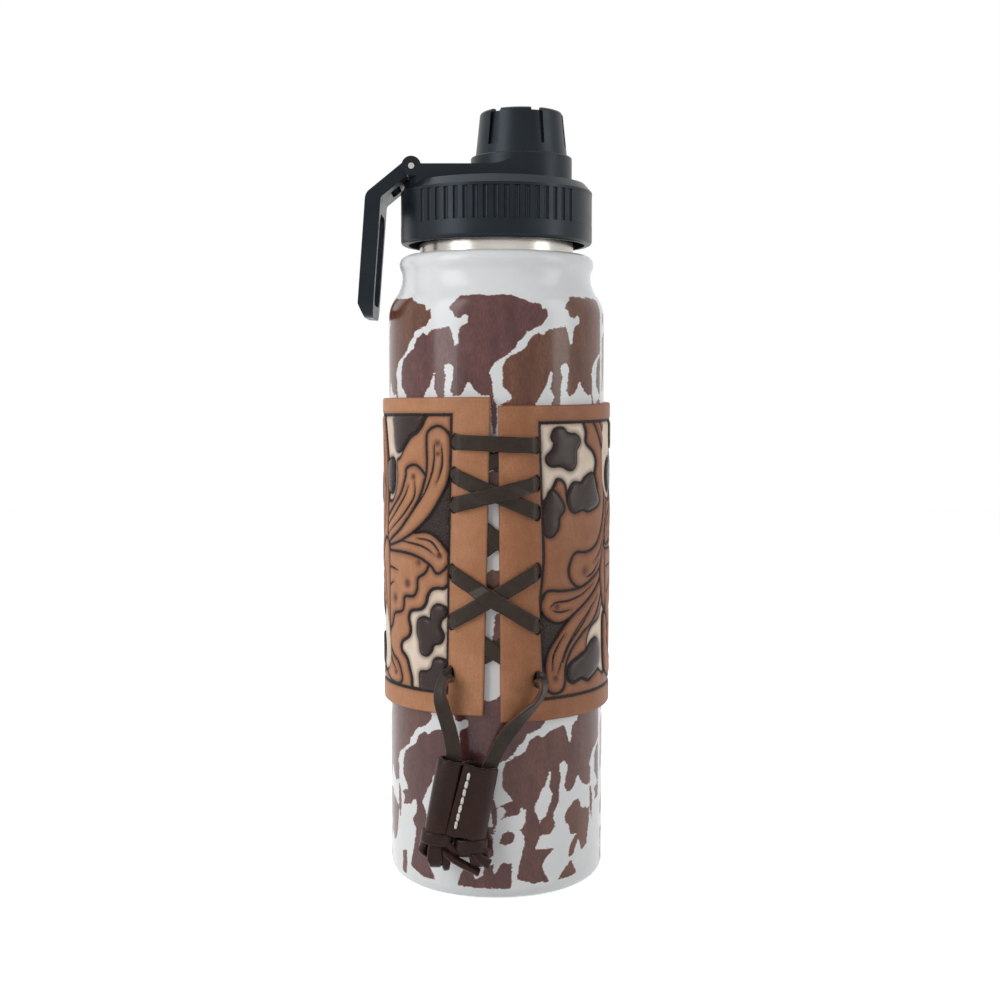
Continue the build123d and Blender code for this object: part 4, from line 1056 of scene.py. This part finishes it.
def leather_material():
    """Tan leather with cream and dark fields, stippled ground, and dark cut lines with soft shade."""
    material, tree, shader = new_material("tooled_leather")
    place = object_place(tree)
    grain = noise(tree, place, 2600.0, 4.0, 0.6)
    cloud = noise(tree, place, 120.0, 4.0, 0.6)
    stipple = cells(tree, place, 1500.0)
    ragged = mapped(tree, grain, *MOST, -0.14, 0.14)

    def inside(name, *span):
        return mapped(tree, math_node(tree, "ADD", attribute(tree, name), ragged), *span)

    inlay, ground = inside("inlay", -0.1, 0.14), inside("ground", -0.1, 0.14)
    line = inside("line", -0.12, 0.16)
    tan, fibres = tan_colour(tree, grain, cloud)
    cream = mixed(tree, mapped(tree, cloud, *MOST), (0.78, 0.61, 0.47), (0.92, 0.8, 0.67))
    colour = mixed(tree, inside("cream", -0.1, 0.14), tan, cream)
    uneven = mapped(tree, cloud, 0.25, 0.7, 0.75, 1.25)
    shade = math_node(tree, "MULTIPLY", attribute(tree, "shade"), uneven, clamp=True)
    colour = mixed(tree, mapped(tree, shade, 0.05, 0.9, 0.0, 0.92), colour, (0.09, 0.022, 0.012))
    stippled = mixed(tree, mapped(tree, stipple, 0.15, 0.7), (0.06, 0.032, 0.026), (0.008, 0.004, 0.004))
    colour = mixed(tree, ground, colour, stippled)
    dark_inlay = mixed(tree, mapped(tree, grain, *MOST), (0.02, 0.0075, 0.005), (0.036, 0.014, 0.01))
    colour = mixed(tree, inlay, colour, dark_inlay)
    colour = mixed(tree, line, colour, (0.005, 0.002, 0.0015))
    colour = mixed(tree, inside("edge", 0.02, 0.45, 0.8, 0.0), colour, (0.15, 0.045, 0.02))
    colour = mixed(tree, attribute(tree, "inner_face"), colour, (0.3, 0.16, 0.085))
    glossy_inlay = mixed(tree, inlay, grey(0.5), grey(0.2))
    pits = mixed(tree, mapped(tree, stipple, 0.0, 0.75), grey(1), grey(0))
    normal = bump(tree, grain, 0.5, 0.00018)
    normal = bump(tree, fibres, 0.14, 0.00012, normal)
    normal = bump(tree, mixed(tree, ground, grey(0.5), pits), 0.9, 0.0004, normal)
    set_inputs(
        shader,
        Base_Color=colour,
        Roughness=mixed(tree, mapped(tree, line, 0, 1, 1, 0), grey(0.7), glossy_inlay),
        Specular_IOR_Level=0.26,
        Coat_Weight=0.05,
        Coat_Roughness=0.25,
        Normal=normal,
    )
    return material


sleeve = add_piece(sleeve_mesh(), leather_material(), "bottle", "sleeve_leather", "leather_sleeve", sharp=40)


# Flat leather strips with rounded edges, swept along lines in millimetres

STRIP_CORNER = 0.45
CORNER_STEPS = 3
FLAT_STEPS = 8
SPLINE_STEPS = 16
UNEVEN = np.random.default_rng(7)
UP = (0, 0, 1)


def unit(vectors):
    return vectors / np.linalg.norm(vectors, axis=-1, keepdims=True)


def square_to(tangent, across):
    """The way across a line, made square to its tangent."""
    return unit(across - (across * tangent).sum(1)[:, None] * tangent)


def strip_section(width, thickness, rounding):
    """A strip's rounded outline, as (across, out) points."""
    corner = min(rounding, thickness / 2.1)
    half, high = width / 2 - corner, thickness / 2 - corner
    points = []
    for x, side, start in ((half, 1, 0), (-half, 1, 90), (-half, -1, 180), (half, -1, 270)):
        points += quarter((x, side * high), corner, start, start + 90, CORNER_STEPS)
        if start in (0, 180):
            points += [(x * (1 - 2 * n / FLAT_STEPS), side * (high + corner)) for n in range(1, FLAT_STEPS)]
    return np.array(points)


def swept_strip(path, across, width, thickness, closed=False, uneven=0.0, rounding=STRIP_CORNER):
    """Points, faces and how near each point is to a cut edge, for a strip along a line."""
    path = np.asarray(path, float)
    tangent = unit(np.roll(path, -1, 0) - np.roll(path, 1, 0) if closed else np.gradient(path, axis=0))
    across = square_to(tangent, np.broadcast_to(np.asarray(across, float), path.shape))
    out = np.cross(tangent, across)
    ripple = np.convolve(UNEVEN.normal(0, 1, len(path) + 8), np.ones(9) / 3, "valid")
    widths = np.broadcast_to(width, len(path)) * (1 + uneven * ripple)
    thicknesses = np.broadcast_to(thickness, len(path))
    verts, rim = [], []
    for place, side, front, wide, thick in zip(path, across, out, widths, thicknesses):
        section = strip_section(wide, thick, rounding)
        verts.append(place + section[:, :1] * side + section[:, 1:] * front)
        rim.append(2 * np.abs(section[:, 0]) / wide)
    count, rings = len(rim[0]), len(path)
    number = np.arange(rings * count).reshape(rings, count)
    low, high = (number, np.roll(number, -1, 0)) if closed else (number[:-1], number[1:])
    faces = np.stack([low, np.roll(low, -1, 1), np.roll(high, -1, 1), high], axis=-1).reshape(-1, 4).tolist()
    if not closed:
        faces += [number[0, ::-1].tolist(), number[-1].tolist()]
        rim[0], rim[-1] = np.ones(count), np.ones(count)
    return np.concatenate(verts), faces, np.concatenate(rim)


def strips_mesh(name, strips):
    """One mesh of several strips, in metres."""
    verts, faces, start = [], [], 0
    for points, sides, _ in strips:
        verts.append(points * MM)
        faces += [[start + corner for corner in side] for side in sides]
        start += len(points)
    mesh = bpy.data.meshes.new(name)
    mesh.from_pydata(np.concatenate(verts).tolist(), [], faces)
    store(mesh, rim=np.concatenate([rim for _, _, rim in strips]))
    return mesh


def spline_points(points):
    """Points along the smooth line of a NURBS spline, in the unit of its control points."""
    curve = bpy.data.curves.new("line", "CURVE")
    curve.dimensions = "3D"
    curve.resolution_u = SPLINE_STEPS
    spline = curve.splines.new("NURBS")
    spline.points.add(len(points) - 1)
    for point, place in zip(spline.points, points):
        point.co = (*place, 1)
    spline.order_u = 3
    spline.use_endpoint_u = True
    line = bpy.data.objects.new("line", curve)
    mesh = bpy.data.meshes.new_from_object(line)
    places = np.array([vertex.co[:] for vertex in mesh.vertices])
    bpy.data.objects.remove(line)
    bpy.data.curves.remove(curve)
    bpy.data.meshes.remove(mesh)
    return places


def lace_material(name, dark, light, worn, raw, gloss, tint):
    """Lace leather: dyed, dry on its high grain, with a lighter raw edge."""
    material, tree, shader = new_material(name)
    place = object_place(tree)
    grain = noise(tree, place, 2300.0, 4.0, 0.65)
    cloud = noise(tree, place, 240.0, 4.0, 0.6)
    colour = mixed(tree, mapped(tree, cloud, *MOST), dark, light)
    colour = mixed(tree, mapped(tree, grain, 0.5, 0.78, 0.0, 0.45), colour, worn)
    wavy = math_node(tree, "ADD", attribute(tree, "rim"), mapped(tree, cloud, *MOST, -0.03, 0.03))
    normal = bump(tree, cells(tree, place, 1700.0), 0.35, 0.00012)
    normal = bump(tree, grain, 0.25, 0.00015, normal)
    set_inputs(
        shader,
        Base_Color=mixed(tree, mapped(tree, wavy, 0.975, 1.0, 0.0, 0.75), colour, raw),
        Roughness=mapped(tree, cloud, *MOST, 0.33, 0.46),
        Specular_IOR_Level=gloss,
        Specular_Tint=tint,
        Normal=bump(tree, cloud, 0.2, 0.0004, normal),
        Sheen_Weight=0.3,
        Sheen_Roughness=0.3,
        Sheen_Tint=rgb(0.86, 0.86, 0.84),
    )
    return material


lace = lace_material(
    "lace_leather",
    dark=(0.012, 0.0072, 0.005),
    light=(0.028, 0.018, 0.013),
    worn=(0.052, 0.039, 0.031),
    raw=(0.13, 0.045, 0.018),
    gloss=0.28,
    tint=rgb(1.0, 0.9, 0.82),
)
slider_leather = lace_material(
    "slider_leather",
    dark=(0.005, 0.002, 0.0018),
    light=(0.02, 0.007, 0.0055),
    worn=(0.04, 0.028, 0.025),
    raw=(0.16, 0.045, 0.018),
    gloss=0.26,
    tint=rgb(1.0, 0.74, 0.68),
)


# Lacing: in front a bar and two crosses, and behind them the crosses that the gap shows

LACE_WIDTH, LACE_THICKNESS, LACE_BEHIND = 5.0, 1.5, 1.2
LACE_UNEVEN = 0.012
OVER_RADIUS = SLEEVE_OUTER + 0.05 + LACE_THICKNESS / 2
UNDER_RADIUS = SLEEVE_INNER + LACE_BEHIND / 2
DIVE = 1.9
DIVE_END = 1.0
DIVE_STEPS = 7
RUN_STEP = 0.42
BEHIND_STEPS = 40
COVERED = (2.5, 5.6)
HOLE_OVERRUN = 1.5
HOLE_INSET = 0.45
BEHIND_LIFT = 0.6
# Each run as its two holes, (side, row), and the number of the run that it crosses over
FRONT_RUNS = (
    ((-1, 0), (1, 0), None),
    ((-1, 1), (1, 2), None),
    ((-1, 2), (1, 1), 1),
    ((-1, 4), (1, 3), None),
    ((-1, 3), (1, 4), 3),
)
BEHIND_RUNS = (
    ((-1, 0), (1, 1), None),
    ((-1, 1), (1, 0), 0),
    ((-1, 3), (1, 2), None),
    ((-1, 2), (1, 3), 2),
    ((-1, 5), (1, 4), None),
    ((-1, 4), (1, 5), 4),
)


def draped(verts, first, second, lift):
    """Points raised where they cross over the run from one hole to another."""
    start, end = hole_flat(*first), hole_flat(*second)
    run = unit(end - start)
    flat = np.stack([SLEEVE_OUTER * np.arctan2(verts[:, 0], -verts[:, 1]), verts[:, 2]], axis=1) - start
    rise = lift * (1 - smooth_share(np.abs(flat[:, 0] * run[1] - flat[:, 1] * run[0]), *COVERED))
    return verts + rise[:, None] * unit(verts * (1, 1, 0))


def lace_run(start, end, along, radius, thickness):
    """A strip round the bottle on the straight way between two flat points."""
    flat = start + along[:, None] * (end - start) / np.linalg.norm(end - start)
    path = bent(radius, flat[:, 0], flat[:, 1])
    return swept_strip(path, UP, LACE_WIDTH, thickness, uneven=LACE_UNEVEN)


def front_run(first, second):
    """A run over the leather that bends down into both its holes."""
    start, end = hole_flat(*first), hole_flat(*second)
    inset = HOLE_INSET * unit(end - start)
    start, end = start + inset, end - inset
    length = np.linalg.norm(end - start)
    bend = np.radians(np.linspace(90, 0, DIVE_STEPS))
    dive_along = np.concatenate([[0, 0], DIVE * (1 - np.sin(bend))])
    dive_depth = np.concatenate([[DIVE + DIVE_END, DIVE + DIVE_END / 2], DIVE * (1 - np.cos(bend))])
    middle = np.linspace(DIVE, length - DIVE, round(length / RUN_STEP))[1:-1]
    along = np.concatenate([dive_along, middle, length - dive_along[::-1]])
    depth = np.concatenate([dive_depth, 0 * middle, dive_depth[::-1]])
    return lace_run(start, end, along, OVER_RADIUS - depth, LACE_THICKNESS)


def behind_run(first, second):
    start, end = hole_flat(*first), hole_flat(*second)
    along = np.linspace(-HOLE_OVERRUN, np.linalg.norm(end - start) + HOLE_OVERRUN, BEHIND_STEPS)
    return lace_run(start, end, along, UNDER_RADIUS, LACE_BEHIND)


def laid(runs, make, lift):
    """Runs in order, each raised where it crosses over another."""
    strips = []
    for first, second, below in runs:
        verts, faces, rim = make(first, second)
        if below is not None:
            verts = draped(verts, *runs[below][:2], lift)
        strips.append((verts, faces, rim))
    return strips


lacing = laid(FRONT_RUNS, front_run, LACE_THICKNESS) + laid(BEHIND_RUNS, behind_run, BEHIND_LIFT)
add_piece(strips_mesh("lacing_runs", lacing), lace, "bottle", "lace_leather", "lacing")


# Free tails of the lace: out of the lowest holes, turned flat, and down into the slider

TAIL_Y = -39.8
TAIL_WIDTH = 4.8
TAIL_THICKNESS = 1.45
TAIL_UNEVEN = 0.015
TAIL_TURN = (1.5, 5.5)
TAIL_ROUTES = {
    "left": (
        (-15.0, -34.6, 74.6), (-15.2, -38.8, 75.2), (-17.2, -41.6, 73.6), (-18.2, -40.8, 69.2),
        (-16.9, TAIL_Y, 63.6), (-15.0, TAIL_Y, 57.6), (-13.7, TAIL_Y, 51.2), (-13.9, TAIL_Y, 45.0),
        (-14.8, TAIL_Y, 39.65),
    ),
    "right": (
        (13.7, -35.2, 73.4), (14.1, -39.2, 73.8), (15.4, -41.8, 72.2), (14.1, -41.4, 68.0),
        (10.0, -40.2, 63.4), (6.0, TAIL_Y, 59.2), (2.4, TAIL_Y, 54.6), (-0.5, TAIL_Y, 49.3),
        (-3.0, TAIL_Y, 43.3), (-4.5, TAIL_Y, 37.7),
    ),
}
# Each twist's angle, and how far along the tail it starts, is whole, starts to ease and ends
TAIL_TWIST = {"left": (56, 1.5, 5.0, 7.0, 20.0), "right": (-66, 1.5, 5.0, 11.0, 30.0)}


def tail_strip(side):
    """A flat tail that leaves its upright hole on edge, twists, and hangs facing the front."""
    path = spline_points(TAIL_ROUTES[side])
    along = np.concatenate([[0], np.cumsum(np.linalg.norm(np.diff(path, axis=0), axis=1))])
    tangent = unit(np.gradient(path, axis=0))
    turned = smooth_share(along, *TAIL_TURN)[:, None]
    sign = 1 if side == "left" else -1
    across = (1 - turned) * np.array(UP) - sign * turned * np.cross(tangent, (0, 1, 0))
    whole, start, full, easing, end = TAIL_TWIST[side]
    angle = np.radians(whole) * (smooth_share(along, start, full) * (1 - smooth_share(along, easing, end)))
    across, angle = square_to(tangent, across), angle[:, None]
    across = across * np.cos(angle) + np.cross(tangent, across) * np.sin(angle)
    return path, swept_strip(path, across, TAIL_WIDTH, TAIL_THICKNESS, uneven=TAIL_UNEVEN)


# Slider and knots, in the slider's own frame: across, back and along, in millimetres

SLIDER_PLACE = np.array([-11.1, -40.6, 35.45])
SLIDER_TILT = math.radians(10.5)
SLIDER_LENGTH = 23.5
SLIDER_WALL = 1.4
KNOT_X = {"left": -5.4, "right": 5.4}
KNOT_PLACE = (0.8, -11.9)
FOLD_PINCH = 0.6
FOLD_TURN = (0.08, 0.5)
KNOT_SWELL = 1.25
KNOT_ROUNDING = 0.85
KNOT_UNEVEN = 0.03
# Strands as (control points from the tube's mouth, width, thickness, way across)
TUBE_STRAND = (((0, 0, 15), (0, 0, 8), (0, 0, 0), (0, 0.2, -3)), 4.8, 1.45, (1, 0, 0))
KNOTS = {
    "left": (
        ((
            (-2.2, 2.8, -1.9), (-4.6, 1.6, -2), (-4.5, -2.2, -2.1), (-2.2, -4, -2), (2, -4, -1.9),
            (4.6, -2.2, -1.9), (4.5, 1.8, -2), (1.6, 3.2, -2.2), (-3, 2.8, -2.8), (-4.6, 0.6, -4.4),
            (-3.8, -1.8, -6), (-2.2, 0.4, -7.6),
        ), 4.2, 1.4, (0.05, 0, 1)),
        ((
            (-0.9, -0.6, -2.6), (-0.7, -3.2, -3.4), (0.2, -3.2, -7), (0.9, -3, -10.6), (1.1, 0.6, -11.2),
            (0.9, 1, -6),
        ), 5, 1.4, (0.985, 0, 0.17)),
        ((
            (2.6, 0.4, -3), (2.9, -2.2, -4.2), (3.9, -2.2, -8), (4.7, -1.8, -11.6), (4.6, 1, -11.4),
            (3.4, 1.2, -6),
        ), 3, 1.4, (0.86, 0.4, 0.2)),
        ((
            (2.6, -2.8, -2.6), (5.2, -2.9, -4), (7, -1.8, -6.6), (5.8, -0.2, -8.4), (3.2, -0.8, -7.6),
        ), 2.6, 1.3, (0.25, -0.3, 0.9)),
        ((
            (1.4, -0.8, -4.4), (3.4, -3.2, -6), (8.6, -3, -8.4), (15.2, -2.2, -10.6),
        ), 2.9, 1.45, (0.1, 0.8, 0.6)),
    ),
    "right": (
        ((
            (-2, 3, -2), (-4.6, 1.6, -2.4), (-4.4, -2.2, -2.9), (-2.2, -4, -2.8), (2, -4, -1.8),
            (4.6, -2.2, -2), (4.6, 1.8, -2.2), (1.6, 3.2, -2.4), (-3, 2.8, -3), (-4.4, 0.2, -4.4),
            (-3.6, -2.4, -4.9), (0.4, -3, -3.6),
        ), 4.6, 1.4, (-0.06, 0, 1)),
        ((
            (0.9, -0.2, -2.8), (1.4, -2.8, -4), (2.6, -3, -6.8), (4, -1.8, -8.6), (4.2, 1, -7.6),
            (2.8, 1.2, -3.6),
        ), 3.8, 1.4, (0.94, 0, 0.3)),
        ((
            (0.4, -1.6, -3.6), (2.6, -3.4, -4.8), (4.8, -3.4, -6), (7, -3, -7.1),
        ), 3.2, 1.45, (0.4, 0.35, 0.85)),
        ((
            (2.4, -3, -2.2), (5, -2.6, -3), (6.4, -0.8, -4.6), (5.2, 1, -5.8), (3, 0.6, -5.6),
        ), 2.8, 1.3, (0.1, -0.2, 0.95)),
    ),
}


def from_slider(points):
    points = np.asarray(points, float)
    across = np.array([math.cos(SLIDER_TILT), 0, -math.sin(SLIDER_TILT)])
    along = np.array([math.sin(SLIDER_TILT), 0, math.cos(SLIDER_TILT)])
    return SLIDER_PLACE + points[:, :1] * across + points[:, 1:2] * (0, 1, 0) + points[:, 2:] * along


def slider_way(direction):
    """A direction in the slider's frame turned into the shared frame."""
    return from_slider([direction])[0] - SLIDER_PLACE


def pinched(path, width, share):
    """A strap's widths along its line, less where it is folded."""
    heading = unit(np.gradient(path, axis=0))
    reach = max(2, len(path) // 16)
    before, after = np.roll(heading, reach, 0), np.roll(heading, -reach, 0)
    before[:reach], after[-reach:] = heading[0], heading[-1]
    turn = np.arccos(np.clip((before * after).sum(1), -1, 1)) / math.pi
    return width * (1 - FOLD_PINCH * share * smooth_share(turn, *FOLD_TURN))


def knot_strand(side, points, width, thickness, across):
    path = np.array(spline_points(points)) + (KNOT_X[side], *KNOT_PLACE)
    widths = pinched(path, width, abs(across[0]))
    looks = {"uneven": KNOT_UNEVEN, "rounding": KNOT_ROUNDING}
    return swept_strip(from_slider(path), slider_way(across), widths, KNOT_SWELL * thickness, **looks)


for side in ("left", "right"):
    strands = [knot_strand(side, *strand) for strand in (TUBE_STRAND, *KNOTS[side])]
    knot_mesh = strips_mesh(f"lace_knot_{side}", strands)
    knot = add_piece(knot_mesh, slider_leather, "bottle", "lace_leather", f"lace_end_{side}")
    route, strip = tail_strip(side)
    tail_mesh = strips_mesh(f"lace_tail_{side}_flat", [strip])
    tail = add_piece(tail_mesh, lace, None, "lace_leather", f"lace_tail_{side}")
    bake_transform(tail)


# Slider: two rolled sheets, of which the left closes on itself and the right ends in the stitched flap

LEFT_TUBE = ((-5.25, 0.0), (4.0, 3.2))
RIGHT_TUBE = ((4.35, 0.0), (4.9, 3.5))
TUBE_STEPS = 56
RIGHT_TURN = (-96, 172)
FLAP_X = -2.05
FLAP_LINE = ((0, -3.0), (1.0, -3.15), (2.2, -3.3), (3.6, -3.4))
FLAP_SLANT = 0.07
FLAP_REACH = 2.5
END_FLARE = 0.02
CUT_WAVE = 0.22


def tube_line(place, radii, start, end, steps):
    angles = np.radians(np.linspace(start, end, steps))
    return np.stack([place[0] + radii[0] * np.cos(angles), place[1] + radii[1] * np.sin(angles)], axis=1)


def slider_places(verts):
    """How far points lie across the slider and along it."""
    return (verts - SLIDER_PLACE) @ slider_way((1, 0, 0)), (verts - SLIDER_PLACE) @ slider_way((0, 0, 1))


def sheet_strip(line, closed=False):
    """A rolled sheet: its line across the slider, its width along it, with wavy cut ends."""
    path = from_slider(np.concatenate([line, np.zeros((len(line), 1))], axis=1))
    verts, faces, rim = swept_strip(path, slider_way((0, 0, -1)), SLIDER_LENGTH, SLIDER_WALL, closed=closed)
    across, along = slider_places(verts)
    way, quarter_length = np.sign(along), SLIDER_LENGTH / 4
    end = np.clip((np.abs(along) - quarter_length) / quarter_length, 0, 1)
    wave = np.sin(0.9 * across + way) * 0.6 + np.sin(2.3 * across + 2 * way) * 0.4
    shift = end * wave * CUT_WAVE - (across - RIGHT_TUBE[0][0]) * end * way * END_FLARE
    rings = rim.reshape(len(line), -1)
    rings[None if closed else slice(1, -1)] = 0
    return verts + shift[:, None] * slider_way((0, 0, 1)), faces, rings.ravel()


def slider_strips():
    left_line = tube_line(*LEFT_TUBE, 90, 450, TUBE_STEPS + 1)[:-1]
    flap = [(FLAP_X + x, y) for x, y in FLAP_LINE]
    right_line = np.concatenate([flap, tube_line(*RIGHT_TUBE, *RIGHT_TURN, TUBE_STEPS)])
    left = sheet_strip(left_line[::-1], closed=True)
    verts, faces, rim = sheet_strip(right_line[::-1])
    across, along = slider_places(verts)
    front = (verts[:, 1] < SLIDER_PLACE[1]) * (1 - smooth_share(across, FLAP_X, FLAP_X + FLAP_REACH))
    verts = verts + (front * along * FLAP_SLANT)[:, None] * slider_way((1, 0, 0))
    return [left, (verts, faces, rim)]


slider_mesh = strips_mesh("lace_slider_rolled", slider_strips())
add_piece(slider_mesh, slider_leather, "keeper", "lace_leather", "lace_slider")


# Saddle stitches along the flap

STITCH_PLACES = np.linspace(8.4, -7.8, 7)
STITCH_LENGTH = 2.1
STITCH_STEPS = 13
STITCH_WIDTH = 1.0
STITCH_X = 0.2
STITCH_SLANT = 0.066
STITCH_Y = -4.05
STITCH_RISE, STITCH_SINK = 0.42, 0.28


def thread_material():
    material, tree, shader = new_material("waxed_thread")
    place = object_place(tree)
    settings = {"bands_direction": "DIAGONAL"}
    twist = add_node(tree, "ShaderNodeTexWave", settings, Vector=place, Scale=420.0, Distortion=0.6)
    twist = twist.outputs["Fac"]
    cloud = noise(tree, place, 900.0)
    colour = mixed(tree, twist, (0.62, 0.59, 0.53), (0.86, 0.84, 0.78))
    colour = mixed(tree, mapped(tree, cloud, 0.5, 0.8, 0.0, 0.4), colour, (0.34, 0.3, 0.25))
    set_inputs(shader, Base_Color=colour, Roughness=0.55, Normal=bump(tree, twist, 0.5, 0.0002))
    return material


def stitch(number, place):
    """A short thread that comes out of its hole, lies on the flap and goes in again."""
    shares = np.linspace(-1, 1, STITCH_STEPS)
    lean = 0.05 * math.sin(2.1 * number)
    across = STITCH_X + STITCH_SLANT * place + lean * shares
    out = STITCH_RISE * (1 - shares**4) - STITCH_SINK
    path = np.stack([across, STITCH_Y - out, place + shares * STITCH_LENGTH / 2], axis=1)
    size = STITCH_WIDTH * (1 - 0.3 * shares**4) * (1 + 0.06 * math.sin(1.7 * number))
    return swept_strip(from_slider(path), slider_way((1, 0, 0)), size, size * 0.9)


stitches = [stitch(number, place) for number, place in enumerate(STITCH_PLACES)]
thread_mesh = strips_mesh("slider_thread", stitches)
add_piece(thread_mesh, thread_material(), "keeper", "thread", "slider_stitches", sharp=70)
